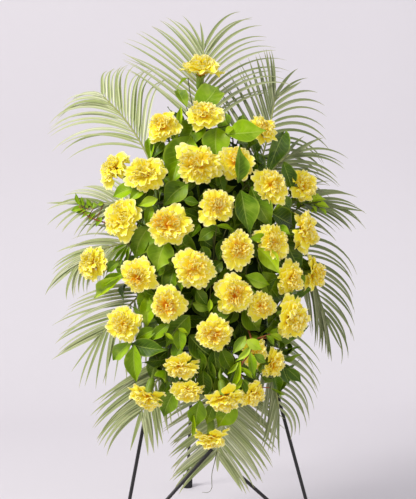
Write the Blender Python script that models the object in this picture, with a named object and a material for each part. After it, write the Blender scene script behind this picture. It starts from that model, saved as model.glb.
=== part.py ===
"""Standing spray of carnations on a folding wire easel. Metres, +Z up, the viewer on the -Y side.

The spray is laid out in the plane of the easel's front legs, which leans back. A place in it is
(across, up, out): metres to the right of the middle, up along the legs from the floor, and out of
their plane towards the viewer. One empty carries that plane, and the spray's pieces are its children.
"""

from math import atan2, cos, hypot, pi, radians, sin, sqrt

import bmesh
import bpy
from mathutils import Matrix, Vector
from mathutils.geometry import intersect_point_line

# --- driving dimensions ---
gap = 0.0003                # clearance between pieces that touch
rod_radius = 0.0032         # 6.4 mm wire
easel_height = 0.767
lean_depth = 0.25           # the easel's head stands this far behind its front feet
foot_half_spread = 0.182
head_half_spread = 0.006
front_feet_y = -0.197
shift_x = -0.004            # brings the whole part's box to the middle
rear_foot_depth = 0.50      # behind the front feet
cap_radius = 0.010
cap_height = 0.026
cap_floor = 0.0095          # rod ends stand this high in their rubber caps
brace_top = (-0.008, 0.200)     # across, up: where the two braces meet
brace_start = 0.021         # a brace starts this far from its leg's cap, clear of the leg
brace_past = 0.001          # and runs this far past where they meet
crossbar_heights = (0.425, 0.660)
foam_half_width = 0.085
foam_half_height = 0.165
foam_back = 0.0075
foam_front = 0.112
foam_edge = 0.006
tray_wall = 0.0025
tray_back = 0.0045
tray_front = 0.032
middle_up = 0.540           # centre of the foam, up along the legs
socket_depth = 0.024
stem_radius = 0.0022
stem_sides = 9
socket_sides = 6
frond_depth = 0.018
cut_past = 0.01             # how far a cutter reaches beyond what it cuts
socket_reach = 0.09         # length of a cutter that opens a stem's hole
# the swell the flower heads lie on: its middle, its reach each way, and how far out its rim and top are
dome = {"across": -0.020, "up": 0.540, "half_width": 0.205, "half_height": 0.345, "rim": 0.085,
        "rise": 0.150}

lean = atan2(lean_depth, easel_height)
leg_top = 0.800
leg_slope = (foot_half_spread - head_half_spread) / leg_top

for old in list(bpy.data.objects):
    bpy.data.objects.remove(old, do_unlink=True)


# --- materials ---
def material(name, colour, roughness, metallic=0.0):
    made = bpy.data.materials.new(name)
    made.use_nodes = True
    shader = made.node_tree.nodes["Principled BSDF"]
    shader.inputs["Base Color"].default_value = (*colour, 1.0)
    shader.inputs["Roughness"].default_value = roughness
    shader.inputs["Metallic"].default_value = metallic
    return made


steel = material("black_steel", (0.012, 0.010, 0.011), 0.38, 0.6)
rubber = material("black_rubber", (0.015, 0.015, 0.016), 0.75)
tray_plastic = material("green_plastic", (0.03, 0.10, 0.04), 0.45)
foam_green = material("floral_foam", (0.05, 0.14, 0.05), 0.95)
petal_yellow = material("yellow_petal", (0.93, 0.72, 0.10), 0.6)
leaf_green = material("glossy_leaf", (0.08, 0.23, 0.01), 0.35)
palm_green = material("palm_leaf", (0.30, 0.42, 0.16), 0.5)


# --- helpers ---
def place(across, up, out):
    return Vector((across, -out, up))


def finish(name, bm, look, parent=None, smooth=30.0):
    mesh = bpy.data.meshes.new(name)
    bm.to_mesh(mesh)
    bm.free()
    mesh.materials.append(look)
    if smooth:
        mesh.shade_smooth()
        mesh.set_sharp_from_angle(angle=radians(smooth))
    made = bpy.data.objects.new(name, mesh)
    bpy.context.collection.objects.link(made)
    made.parent = parent
    return made


def along(start, end):
    """A matrix at start whose Z axis points to end."""
    turn = (end - start).to_track_quat("Z", "Y")
    return Matrix.Translation(start) @ turn.to_matrix().to_4x4()


def rod_mesh(start, end, radius, sides=10):
    bm = bmesh.new()
    length = (end - start).length
    bmesh.ops.create_cone(bm, cap_ends=True, segments=sides, radius1=radius, radius2=radius,
                          depth=length)
    bmesh.ops.translate(bm, verts=bm.verts, vec=(0.0, 0.0, length / 2))
    bmesh.ops.transform(bm, matrix=along(start, end), verts=bm.verts)
    return bm


def rod(name, start, end, radius, look, parent=None, sides=10):
    return finish(name, rod_mesh(start, end, radius, sides), look, parent, 50.0)


def box(name, low, high, look, parent=None):
    bm = bmesh.new()
    bmesh.ops.create_cube(bm, size=1.0)
    size = Vector(high) - Vector(low)
    bmesh.ops.scale(bm, vec=size, verts=bm.verts)
    bmesh.ops.translate(bm, vec=(Vector(low) + Vector(high)) / 2, verts=bm.verts)
    return finish(name, bm, look, parent, None)


def block(name, across, up, out, look, parent=None):
    """A box given by its ranges across, up and out of the leaning plane."""
    return box(name, (across[0], -out[1], up[0]), (across[1], -out[0], up[1]), look, parent)


def tool(made):
    made.hide_render = True
    made.display_type = "WIRE"
    return made


def combine(target, other, operation):
    tool(other)
    step = target.modifiers.new(other.name, "BOOLEAN")
    step.operation = operation
    step.object = other
    return target


plane = bpy.data.objects.new("leaning_plane", None)
bpy.context.collection.objects.link(plane)
plane.location = (shift_x, front_feet_y, 0.0)
plane.rotation_euler = (-lean, 0.0, 0.0)
to_world = Matrix.Translation(plane.location) @ Matrix.Rotation(-lean, 4, "X")
to_plane = to_world.inverted()


# --- easel: front frame ---
def leg_across(up):
    return foot_half_spread - leg_slope * up


def leg_point(side, up):
    return place(side * leg_across(up), up, 0.0)


def cap_up(height):
    """How far up the legs a world height lies."""
    return height / cos(lean)


def foot_cap(name, centre, axis_start, axis_end):
    cap = rod(name, centre, centre + Vector((0.0, 0.0, cap_height)), cap_radius, rubber, None, 14)
    hole = rod(name + "_hole", axis_start, axis_end, rod_radius + gap, rubber)
    return combine(cap, hole, "DIFFERENCE")


for side, label in ((-1.0, "left"), (1.0, "right")):
    rod("front_leg_" + label, leg_point(side, cap_up(cap_floor)), leg_point(side, leg_top), rod_radius,
        steel, plane)
    middle = to_world @ leg_point(side, cap_up(cap_height / 2))
    foot_cap("foot_cap_" + label, Vector((middle.x, middle.y, 0.0)),
             to_world @ leg_point(side, cap_up(cap_floor) - gap),
             to_world @ leg_point(side, cap_up(cap_height) + cut_past))

    lap = rod_radius + gap / 2
    meet = place(brace_top[0], brace_top[1], -side * lap)
    foot = leg_point(side, cap_up(cap_height))
    run = (meet - foot).normalized()
    rod("foot_brace_" + label, foot + run * brace_start, meet + run * brace_past, rod_radius, steel, plane)

for height, label in zip(crossbar_heights, ("lower", "upper")):
    reach = rod_radius * (sqrt(1.0 + leg_slope ** 2) + leg_slope) + gap
    half = leg_across(height) - reach
    rod("crossbar_" + label, place(-half, height, 0.0), place(half, height, 0.0), rod_radius, steel, plane)

# --- easel: head bracket, hinge pin and rear leg ---
head_low = leg_top - 0.016
head_high = leg_top + 0.012
head_back = -0.027
head_front = 0.006
slot_front = -0.0085
pin_centre = place(0.0, leg_top - 0.002, -0.0165)
pin_radius = 0.0025
pin_end = 0.0015            # the pin stands this far out of the bracket at each side
ear_half = 0.016
slot_half = 0.0042
eye_gap = 0.0005            # between the rear leg's eye and each side of the slot
eye_radius = 0.0065
leg_in_eye = 0.004

bracket = block("head_bracket", (-ear_half, ear_half), (head_low, head_high), (head_back, head_front),
                steel, plane)
slot = block("head_slot", (-slot_half, slot_half), (head_low - cut_past, head_high + cut_past),
             (head_back - cut_past, slot_front), steel, plane)
combine(bracket, slot, "DIFFERENCE")
for side in (-1.0, 1.0):
    hole = rod("head_hole_%d" % side, leg_point(side, head_low - cut_past),
               leg_point(side, leg_top + gap), rod_radius + gap, steel, plane)
    combine(bracket, hole, "DIFFERENCE")
pin_reach = Vector((ear_half + pin_end, 0.0, 0.0))
hole_reach = Vector((ear_half + cut_past, 0.0, 0.0))
bore = rod("pin_bore", pin_centre - hole_reach, pin_centre + hole_reach, pin_radius + gap, steel, plane)
combine(bracket, bore, "DIFFERENCE")
rod("hinge_pin", pin_centre - pin_reach, pin_centre + pin_reach, pin_radius, steel, plane)

hinge = bpy.data.objects.new("hinge_axis", None)
bpy.context.collection.objects.link(hinge)
hinge.location = to_world @ pin_centre
rear_foot = Vector((shift_x, front_feet_y + rear_foot_depth, 0.0)) - hinge.location
rear_run = rear_foot.normalized()
rear_end = rear_foot - rear_run * (cap_floor / cos(atan2(rear_foot.y, -rear_foot.z)))
eye_half = Vector((slot_half - eye_gap, 0.0, 0.0))
rear_leg = rod("rear_leg", rear_run * leg_in_eye, rear_end, rod_radius, steel, hinge)
eye = rod("rear_eye", -eye_half, eye_half, eye_radius, steel, hinge, 14)
eye_bore = rod("rear_bore", -hole_reach, hole_reach, pin_radius + gap, steel, hinge)
combine(combine(rear_leg, eye, "UNION"), eye_bore, "DIFFERENCE")

cap_base = rear_foot + rear_run * (cap_height / 2 / rear_run.z)
cap_base.z = rear_foot.z
rear_cap = rod("foot_cap_rear", cap_base, cap_base + Vector((0.0, 0.0, cap_height)), cap_radius, rubber,
               hinge, 14)
rear_hole = rod("rear_cap_hole", rear_end + rear_run * gap, rear_end - rear_run * (cap_height + cut_past),
                rod_radius + gap, rubber, hinge)
combine(rear_cap, rear_hole, "DIFFERENCE")

# --- holder: tray on the crossbars, floral foam in it ---
hook_half_width = 0.018
hook_half_height = 0.008
hook_back = -0.0068


def around(half, middle=0.0, extra=0.0):
    return (middle - half - extra, middle + half + extra)


tray = block("foam_tray", around(foam_half_width, 0.0, gap + tray_wall),
             around(foam_half_height, middle_up, gap + tray_wall), (tray_back, tray_front), tray_plastic, plane)
hollow = block("tray_hollow", around(foam_half_width, 0.0, gap), around(foam_half_height, middle_up, gap),
               (foam_back - gap, foam_front), tray_plastic, plane)
combine(tray, hollow, "DIFFERENCE")
for number, height in enumerate(crossbar_heights):
    hook = block("hook_%d" % number, around(hook_half_width), around(hook_half_height, height),
                 (hook_back, tray_back + gap), tray_plastic, plane)
    mouth = block("hook_mouth_%d" % number, around(hook_half_width, 0.0, cut_past),
                  (height - hook_half_height - cut_past, height + rod_radius + gap),
                  (-rod_radius - 2 * gap, tray_back - gap), tray_plastic, plane)
    combine(tray, hook, "UNION")
    combine(tray, mouth, "DIFFERENCE")

foam = block("floral_foam", around(foam_half_width), around(foam_half_height, middle_up),
             (foam_back, foam_front), foam_green, plane)
edge = foam.modifiers.new("edge", "BEVEL")
edge.width = foam_edge
edge.segments = 1
edge.limit_method = "ANGLE"


def foam_entry(inside, direction):
    """Where a straight stem from inside the foam leaves it."""
    low = Vector((-foam_half_width, -foam_front, middle_up - foam_half_height))
    high = Vector((foam_half_width, -foam_back, middle_up + foam_half_height))
    reach = []
    for axis in range(3):
        if abs(direction[axis]) > 1e-6:
            wall = high[axis] if direction[axis] > 0 else low[axis]
            reach.append((wall - inside[axis]) / direction[axis])
    return inside + direction * min(reach)


def socket(name, end, direction, radius):
    """Cuts a stem's hole in the foam, from the stem's inner end outwards."""
    hole = rod("socket_" + name, end - direction * gap, end + direction * socket_reach,
               radius / cos(pi / socket_sides), foam_green, plane, socket_sides)
    combine(foam, hole, "DIFFERENCE")


# --- carnations ---
# name: across, up (metres from the floor, along the legs), head diameter, and how far it stands out of
# the dome
carnations = {
    "01": (-0.020, 0.884, 0.070, 0.000),
    "02": (-0.096, 0.742, 0.066, 0.000),
    "03": (-0.023, 0.758, 0.068, 0.004),
    "04": (0.082, 0.738, 0.062, 0.000),
    "05": (-0.178, 0.680, 0.066, -0.006),
    "06": (-0.127, 0.656, 0.072, 0.006),
    "07": (-0.040, 0.664, 0.088, 0.004),
    "08": (0.020, 0.676, 0.062, -0.012),
    "09": (0.083, 0.633, 0.070, 0.004),
    "10": (0.162, 0.652, 0.062, -0.004),
    "11": (-0.170, 0.582, 0.072, 0.004),
    "12": (-0.092, 0.558, 0.078, 0.004),
    "13": (-0.015, 0.584, 0.066, 0.000),
    "14": (0.152, 0.560, 0.070, 0.004),
    "15": (0.087, 0.532, 0.064, 0.000),
    "16": (0.022, 0.514, 0.064, 0.000),
    "17": (-0.219, 0.524, 0.066, 0.000),
    "18": (-0.142, 0.488, 0.070, 0.004),
    "19": (-0.056, 0.486, 0.074, 0.004),
    "20": (0.172, 0.494, 0.062, 0.000),
    "21": (0.117, 0.474, 0.064, -0.004),
    "22": (-0.094, 0.432, 0.064, 0.000),
    "23": (0.009, 0.444, 0.068, 0.000),
    "24": (0.061, 0.422, 0.056, -0.008),
    "25": (0.122, 0.406, 0.068, 0.004),
    "26": (-0.168, 0.408, 0.064, 0.000),
    "27": (-0.023, 0.377, 0.066, 0.000),
    "28": (-0.075, 0.335, 0.064, 0.004),
    "30": (0.088, 0.330, 0.052, -0.012),
    "31": (-0.132, 0.290, 0.066, 0.000),
    "32": (-0.066, 0.286, 0.058, 0.000),
    "33": (-0.006, 0.274, 0.066, 0.004),
    "34": (0.047, 0.282, 0.052, 0.000),
    "35": (-0.023, 0.216, 0.062, 0.000),
}
# heads that share one forked stem
twins = {"05": "06", "10": "09", "14": "15", "20": "21", "25": "24", "28": "32", "34": "33"}


def dome_out(across, up):
    spread = hypot((across - dome["across"]) / dome["half_width"], (up - dome["up"]) / dome["half_height"])
    return dome["rim"] + dome["rise"] * sqrt(max(0.0, 1.0 - min(1.0, spread) ** 2))


droop = radians(-9.0)       # the middle heads hang a little
turn_middle = 6.0           # degrees a head is turned outwards in the middle of the dome
turn_rim = 80.0             # and at its rim
root_share = (0.42, 0.44)   # how far from the foam's middle the stems' inner ends spread
root_out = 0.055
neck_length = 0.026         # straight stem behind a head
aim_behind = 0.05           # a stem leaves the foam towards a point this far behind its head
above_foam = 0.004
twin_stem = 1.2             # a shared stem's thickness in single stems
fork_out = 0.008
fork_in = 0.006
branch_length = 0.03


def facing(across, up):
    """Towards the viewer in the middle of the dome, outwards at its rim."""
    side = Vector(((across - dome["across"]) / dome["half_width"], (up - dome["up"]) / dome["half_height"]))
    spread = min(1.0, side.length)
    turn = radians(turn_middle + (turn_rim - turn_middle) * spread ** 2.4)
    side.normalize()
    ahead = place(0.0, sin(droop), cos(droop))
    return (ahead * cos(turn) + place(side.x, side.y, 0.0) * sin(turn)).normalized()


def stem_root(across, up):
    """The point inside the foam that the stem of a head at this place comes from."""
    return place(root_share[0] * across, middle_up + root_share[1] * (up - middle_up), root_out)


def carnation_mesh(root, mouth, head, face, radius, stem):
    """Stem, calyx and ruffled head as one body, turned round a line that bends once, at the calyx."""
    neck = head - face * (0.62 * radius + neck_length)
    start = (mouth - root).normalized()
    bend = ((neck - mouth).normalized() + face).normalized()
    rings = [(root, start, stem, False), (mouth, start, stem, False), (neck, bend, stem, False)]
    # the calyx, then the head: height along the face's direction, radius, and whether it is ruffled
    for height, size, ruffled in ((-0.62 * radius - 0.018, 0.0062, False), (-0.52 * radius, 0.0088, False),
                                  (-0.30 * radius, 0.80 * radius, True), (0.02 * radius, radius, True),
                                  (0.32 * radius, 0.78 * radius, True), (0.48 * radius, 0.36 * radius, False)):
        rings.append((head + face * height, face, size, ruffled))
    bm = bmesh.new()
    loops = []
    for centre, axis, size, ruffled in rings:
        frame = along(centre, centre + axis)
        loop = []
        for step in range(stem_sides):
            angle = 2 * pi * step / stem_sides
            reach = size * (1.0 - 0.07 * (1.0 + cos(3 * angle)) if ruffled else 1.0)
            loop.append(bm.verts.new(frame @ Vector((reach * cos(angle), reach * sin(angle), 0.0))))
        loops.append(loop)

    def twist(lower, upper, shift):
        return sum((lower[step].co - upper[(step + shift) % stem_sides].co).length for step in range(stem_sides))

    for lower, upper in zip(loops, loops[1:]):
        shift = min(range(stem_sides), key=lambda trial: twist(lower, upper, trial))
        for step in range(stem_sides):
            ahead = (step + 1) % stem_sides
            bm.faces.new((lower[step], lower[ahead], upper[(ahead + shift) % stem_sides],
                          upper[(step + shift) % stem_sides]))
    bm.faces.new(list(reversed(loops[0])))
    bm.faces.new(loops[-1])
    return bm


def head_place(key):
    across, up, diameter, lift = carnations[key]
    return place(across, up, dome_out(across, up) + lift), facing(across, up), diameter / 2


def stem_start(target):
    """Where a stem that aims at a point ends in the foam, and where it leaves it."""
    root = stem_root(target.x, target.z)
    direction = (target - root).normalized()
    entry = foam_entry(root, direction)
    depth = min(socket_depth, (entry - root).length)
    return entry - direction * depth, entry, direction


for key in sorted(carnations):
    if key in twins.values():
        continue
    head, face, radius = head_place(key)
    if key in twins:
        other, other_face, other_radius = head_place(twins[key])
        end, entry, direction = stem_start((head + other) / 2)
        fork = entry + direction * fork_out
        thick = stem_radius * twin_stem
        made = finish("carnation_twin_%s_%s" % (key, twins[key]),
                      carnation_mesh(end, fork, head, face, radius, thick), petal_yellow, plane)
        branch = fork + (other - fork).normalized() * branch_length
        second = carnation_mesh(fork - direction * fork_in, branch, other, other_face, other_radius,
                                stem_radius)
        combine(made, finish("second_head_" + twins[key], second, petal_yellow, plane), "UNION")
        socket(key, end, direction, thick + gap)
    else:
        end, entry, direction = stem_start(head - face * aim_behind)
        single = carnation_mesh(end, entry + direction * above_foam, head, face, radius, stem_radius)
        finish("carnation_" + key, single, petal_yellow, plane)
        socket(key, end, direction, stem_radius + gap)


# --- palm fronds ---
# entry on the foam, a knee the rachis bends over and its tip, as (across, up); leaflets a side; where along
# the rachis they start; then for its left and its right side the leaflets' angle to the rachis at the base
# and at the tip, how far they bend on, in degrees, and their length at the base and at the tip; depth layer
palm_fronds = {
    "top": ((-0.004, 0.705), (-0.006, 0.80), (0.004, 0.925), 10, 0.36, (42, 20, 25, 0.160, 0.095),
            (-42, -16, -48, 0.170, 0.118), 2),
    "upper_left": ((-0.050, 0.705), (-0.105, 0.700), (-0.189, 0.850), 10, 0.42, (44, 38, 62, 0.130, 0.060),
                   (-30, -24, -34, 0.165, 0.055), 1),
    "upper_right": ((0.050, 0.705), (0.104, 0.75), (0.131, 0.842), 10, 0.30, (38, 14, 6, 0.155, 0.098),
                    (-40, -16, -58, 0.132, 0.085), 1),
    "right_high": ((0.085, 0.652), (0.120, 0.685), (0.165, 0.720), 7, 0.30, (40, 24, 10, 0.070, 0.060),
                   (-34, -22, -42, 0.135, 0.100), 3),
    "right": ((0.085, 0.606), (0.165, 0.640), (0.236, 0.622), 9, 0.36, (58, 30, -40, 0.110, 0.066),
              (-32, -20, -10, 0.085, 0.050), 2),
    "right_low": ((0.085, 0.588), (0.150, 0.565), (0.219, 0.453), 9, 0.34, (36, 38, -58, 0.112, 0.070),
                  (-50, -20, 2, 0.150, 0.100), 1),
    "lower_right": ((0.060, 0.375), (0.085, 0.34), (0.108, 0.267), 9, 0.14, (72, 30, -54, 0.135, 0.075),
                    (-34, -10, -6, 0.125, 0.098), 3),
    "bottom": ((0.014, 0.375), (0.018, 0.29), (0.001, 0.186), 9, 0.34, (52, 32, -8, 0.135, 0.062),
               (-46, -36, 10, 0.146, 0.070), 0),
    "lower_left": ((-0.060, 0.375), (-0.10, 0.34), (-0.134, 0.268), 8, 0.22, (44, 30, 10, 0.100, 0.070),
                   (-56, -24, 12, 0.130, 0.092), 3),
    "left_low": ((-0.085, 0.512), (-0.136, 0.472), (-0.198, 0.408), 8, 0.32, (42, 18, 4, 0.145, 0.118),
                 (-42, -18, 22, 0.135, 0.094), 2),
    "left": ((-0.085, 0.560), (-0.160, 0.595), (-0.236, 0.540), 8, 0.36, (40, 22, 24, 0.095, 0.060),
             (-40, -26, 50, 0.080, 0.060), 1),
    "left_high": ((-0.085, 0.620), (-0.160, 0.655), (-0.234, 0.630), 9, 0.40, (36, 14, 20, 0.080, 0.060),
                  (-64, -18, 24, 0.094, 0.060), 3),
}
rachis_half = 0.0018
leaflet_root = 0.0028       # width of a leaflet where it leaves the rachis
leaflet_width = 0.0058
sheet_thickness = 0.0008
louvre = 0.0012             # neighbouring leaflets lie this far before and behind their frond's surface
brace_clear = 0.0085        # no leaflet runs closer to where the braces meet
first_layer = 0.040         # how far out of the leaning plane the deepest fronds leave the foam
layer_step = 0.007
bowl_fall = 0.12            # the fronds curve back from there, by this much a square metre
rachis_hole = 0.0030        # half width of a rachis's hole in the foam
# the bottom frond: between these heights it comes from the foam's depth to the braces'
passing_up = (0.215, 0.375)
passing_low = 0.0005
passing_tilt = 0.14


def bowl(layer):
    def out(across, up):
        return first_layer + layer_step * layer - bowl_fall * (across ** 2 + (up - middle_up) ** 2)
    return out


def between_braces(across, up):
    """The bottom frond runs from the foam down between the two lower braces."""
    share = min(1.0, max(0.0, (up - passing_up[0]) / (passing_up[1] - passing_up[0])))
    share = share * share * (3.0 - 2.0 * share)
    low = passing_low + passing_tilt * (across - brace_top[0])
    return low + (first_layer - 0.004 - low) * share


def bezier(start, knee, tip, t):
    start, knee, tip = Vector(start), Vector(knee), Vector(tip)
    return start * (1 - t) ** 2 + knee * 2 * t * (1 - t) + tip * t * t


def bezier_angle(start, knee, tip, t):
    start, knee, tip = Vector(start), Vector(knee), Vector(tip)
    run = (knee - start) * (1 - t) + (tip - knee) * t
    return atan2(run.y, run.x)


def turned(angle):
    return Vector((cos(angle), sin(angle)))


def leaflet_path(start, angle, bend, length, steps):
    """Points of a leaflet that leaves at an angle and bends on towards its tip."""
    points = [start]
    for step in range(steps):
        share = (step + 0.5) / steps
        points.append(points[-1] + turned(angle + bend * share ** 1.3) * length / steps)
    return points


def passes(points, spot, clear):
    """Whether a line through the points comes near a spot."""
    for start, end in zip(points, points[1:]):
        nearest, share = intersect_point_line(spot, start, end)
        if 0.0 <= share <= 1.0 and (nearest.xy - spot).length < clear:
            return True
    return False


def frond(name, entry, knee, tip, count, first, left, right, layer):
    out = between_braces if name == "bottom" else bowl(layer)
    bm = bmesh.new()

    def vert(point, lift=0.0):
        return bm.verts.new(place(point.x, point.y, out(point.x, point.y) + lift))

    length = sum((bezier(entry, knee, tip, (k + 1) / 20) - bezier(entry, knee, tip, k / 20)).length
                 for k in range(20))
    half_root = leaflet_root / 2 / length
    spots = [first + (1.0 - first - half_root) * k / (count - 1) for k in range(count)]
    inner = Vector(entry) - turned(bezier_angle(entry, knee, tip, 0.0)) * frond_depth
    stations = [(inner, bezier_angle(entry, knee, tip, 0.0), None)]
    for t in (0.0, first / 2):
        stations.append((bezier(entry, knee, tip, t), bezier_angle(entry, knee, tip, t), None))
    for number, spot in enumerate(spots):
        for t in (spot - half_root, spot + half_root):
            stations.append((bezier(entry, knee, tip, t), bezier_angle(entry, knee, tip, t), number))
    rows = []
    for point, angle, number in stations:
        side = turned(angle + pi / 2) * rachis_half
        rows.append((vert(point + side), vert(point - side), point, angle, number))
    for lower, upper in zip(rows, rows[1:]):
        bm.faces.new((lower[1], upper[1], upper[0], lower[0]))
        if lower[4] is None or lower[4] != upper[4]:
            continue
        share = lower[4] / (count - 1)
        for sign, corner, shape in ((1, 0, left), (-1, 1, right)):
            base_angle, tip_angle, bend, base_reach, tip_reach = shape
            angle = lower[3] + radians(base_angle + (tip_angle - base_angle) * share)
            reach = base_reach + (tip_reach - base_reach) * share ** 1.5
            start = (lower[2] + upper[2]) / 2 + turned(lower[3] + sign * pi / 2) * rachis_half
            points = leaflet_path(start, angle, radians(bend), reach, 3)
            if name == "bottom" and passes(points, Vector(brace_top), brace_clear):
                continue
            row = (lower[corner], upper[corner])
            lift = louvre * (-1) ** lower[4] if name != "bottom" else 0.0
            for number, width in ((1, 0.85), (2, 1.0)):
                run = (points[number + 1] - points[number - 1]).normalized()
                cross = Vector((-run.y, run.x)) * sign * leaflet_width / 2 * width
                ahead = (vert(points[number] + cross, lift), vert(points[number] - cross, lift))
                bm.faces.new((row[0], ahead[0], ahead[1], row[1]))
                row = ahead
            bm.faces.new((row[0], vert(points[-1], lift), row[1]))
    bmesh.ops.recalc_face_normals(bm, faces=bm.faces)
    made = finish("palm_" + name, bm, palm_green, plane, None)
    thick = made.modifiers.new("thickness", "SOLIDIFY")
    thick.thickness = sheet_thickness
    thick.offset = 0.0
    end = place(inner.x, inner.y, out(inner.x, inner.y))
    mouth = place(entry[0], entry[1], out(entry[0], entry[1]))
    socket(name, end, (mouth - end).normalized(), rachis_hole)


for name, shape in palm_fronds.items():
    frond(name, *shape)

# --- leaf sprigs ---
# stem as (across, up, out) points from the foam; leaves as how far along the stem, side, tip and width
leaf_sprigs = {
    "top": ([(-0.030, 0.690, 0.095), (-0.034, 0.76, 0.110), (-0.032, 0.81, 0.100)],
            [(0.42, 1, (-0.078, 0.842, 0.085), 0.030), (0.85, -1, (0.014, 0.855, 0.100), 0.040)]),
    "upper_right": ([(0.040, 0.690, 0.100), (0.046, 0.73, 0.110), (0.048, 0.755, 0.115)],
                    [(0.40, -1, (0.128, 0.748, 0.100), 0.034), (0.85, -1, (0.082, 0.800, 0.125), 0.036)]),
    "right": ([(0.060, 0.580, 0.105), (0.060, 0.600, 0.140), (0.052, 0.630, 0.160)],
              [(0.45, -1, (0.112, 0.572, 0.150), 0.030), (0.85, 1, (0.012, 0.640, 0.185), 0.030)]),
    "left": ([(-0.078, 0.620, 0.105), (-0.100, 0.618, 0.115), (-0.118, 0.612, 0.120)],
             [(0.45, 1, (-0.116, 0.538, 0.160), 0.030), (0.85, -1, (-0.160, 0.650, 0.108), 0.028)]),
    "lower_left": ([(-0.070, 0.400, 0.095), (-0.105, 0.380, 0.100), (-0.125, 0.365, 0.100)],
                   [(0.45, -1, (-0.196, 0.362, 0.090), 0.036), (0.85, 1, (-0.150, 0.312, 0.090), 0.032)]),
    "bottom": ([(-0.030, 0.390, 0.080), (-0.040, 0.33, 0.080), (-0.044, 0.29, 0.080)],
               [(0.50, -1, (-0.100, 0.258, 0.080), 0.036), (0.85, 1, (-0.004, 0.226, 0.070), 0.034)]),
}
leaf_profile = ((0.10, 0.12), (0.30, 0.86), (0.52, 1.0), (0.76, 0.72))     # share of length, of width
sprig_half = 0.0013
sprig_hole = 0.0024
leaf_stalk = 0.0032         # width of a leaf where it leaves the stem


def sprig(name, stem, leaves):
    bm = bmesh.new()
    path = [place(*point) for point in stem]
    view = Vector((0.0, -1.0, 0.0))

    def at(t):
        return bezier(path[0], path[1], path[2], t)

    def heading(t):
        return ((path[1] - path[0]) * (1 - t) + (path[2] - path[1]) * t).normalized()

    half_root = leaf_stalk / 2 / ((path[1] - path[0]).length + (path[2] - path[1]).length)
    stations = [(0.0, None), (0.2, None)]
    for number, leaf in enumerate(leaves):
        stations += [(leaf[0] - half_root, number), (leaf[0] + half_root, number)]
    stations.append((1.0, None))
    rows = []
    for t, number in stations:
        across = heading(t).cross(view).normalized() * -sprig_half
        rows.append((bm.verts.new(at(t) + across), bm.verts.new(at(t) - across), t, number))
    for lower, upper in zip(rows, rows[1:]):
        bm.faces.new((lower[1], upper[1], upper[0], lower[0]))
        if lower[3] is None or lower[3] != upper[3]:
            continue
        _, side, tip, width = leaves[lower[3]]
        corner = 0 if side > 0 else 1
        start = (lower[corner].co + upper[corner].co) / 2
        end = place(*tip)
        run = end - start
        cross = run.cross(view).normalized()
        row = (lower[corner], upper[corner])
        if cross.dot(upper[corner].co - lower[corner].co) < 0:
            cross = -cross
        for share, size in leaf_profile:
            centre = start + run * share
            offset = cross * width / 2 * size
            ahead = (bm.verts.new(centre - offset), bm.verts.new(centre + offset))
            bm.faces.new((row[0], ahead[0], ahead[1], row[1]))
            row = ahead
        bm.faces.new((row[0], bm.verts.new(end), row[1]))
    bmesh.ops.recalc_face_normals(bm, faces=bm.faces)
    made = finish("leaf_sprig_" + name, bm, leaf_green, plane, None)
    thick = made.modifiers.new("thickness", "SOLIDIFY")
    thick.thickness = sheet_thickness
    thick.offset = 0.0
    socket("sprig_" + name, path[0], heading(0.0), sprig_hole)


for name, (stem, leaves) in leaf_sprigs.items():
    sprig(name, stem, leaves)
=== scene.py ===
from math import atan2, cos, hypot, pi, radians, sin, sqrt
from random import Random

import bpy
from mathutils import Euler, Matrix, Vector


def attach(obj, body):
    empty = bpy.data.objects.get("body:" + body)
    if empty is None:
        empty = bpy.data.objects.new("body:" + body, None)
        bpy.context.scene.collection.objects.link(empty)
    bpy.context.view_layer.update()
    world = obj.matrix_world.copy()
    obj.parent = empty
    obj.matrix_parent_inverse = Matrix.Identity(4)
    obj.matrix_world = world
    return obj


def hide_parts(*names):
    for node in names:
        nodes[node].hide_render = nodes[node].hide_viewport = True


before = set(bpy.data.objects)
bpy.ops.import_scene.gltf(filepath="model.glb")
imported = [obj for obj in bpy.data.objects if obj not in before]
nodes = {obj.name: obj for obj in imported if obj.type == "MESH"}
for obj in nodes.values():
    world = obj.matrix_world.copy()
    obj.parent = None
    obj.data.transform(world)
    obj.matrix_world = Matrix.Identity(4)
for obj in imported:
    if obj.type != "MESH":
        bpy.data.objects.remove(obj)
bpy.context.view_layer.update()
print("frame loaded:", len(nodes), "nodes")

# --- the plane that the easel's front legs stand in, which the spray is laid out on ---
easel = {"shiftX": -0.004, "frontFeetY": -0.197, "height": 0.767, "leanDepth": 0.25}
lean = atan2(easel["leanDepth"], easel["height"])
toWorld = Matrix.Translation((easel["shiftX"], easel["frontFeetY"], 0.0)) @ Matrix.Rotation(-lean, 4, "X")
toWorldTurn = Euler((-lean, 0.0, 0.0))


def place(across, up, out):
    return toWorld @ Vector((across, -out, up))


def heading(across, up, out):
    return (toWorld.to_3x3() @ Vector((across, -out, up))).normalized()


# --- camera ---
view = {"target": (-0.001, -0.007, 0.536), "distance": 2.5, "azimuth": -7.5, "pitch": 5.8, "lens": 97.4}


def setCamera():
    camera = bpy.data.objects.new("camera", bpy.data.cameras.new("camera"))
    bpy.context.collection.objects.link(camera)
    turn = Euler((radians(90.0 - view["pitch"]), 0.0, radians(view["azimuth"])))
    camera.rotation_euler = turn
    camera.location = Vector(view["target"]) + turn.to_matrix() @ Vector((0.0, 0.0, view["distance"]))
    camera.data.lens = view["lens"]
    camera.data.clip_end = 50.0
    bpy.context.scene.camera = camera


setCamera()


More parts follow.
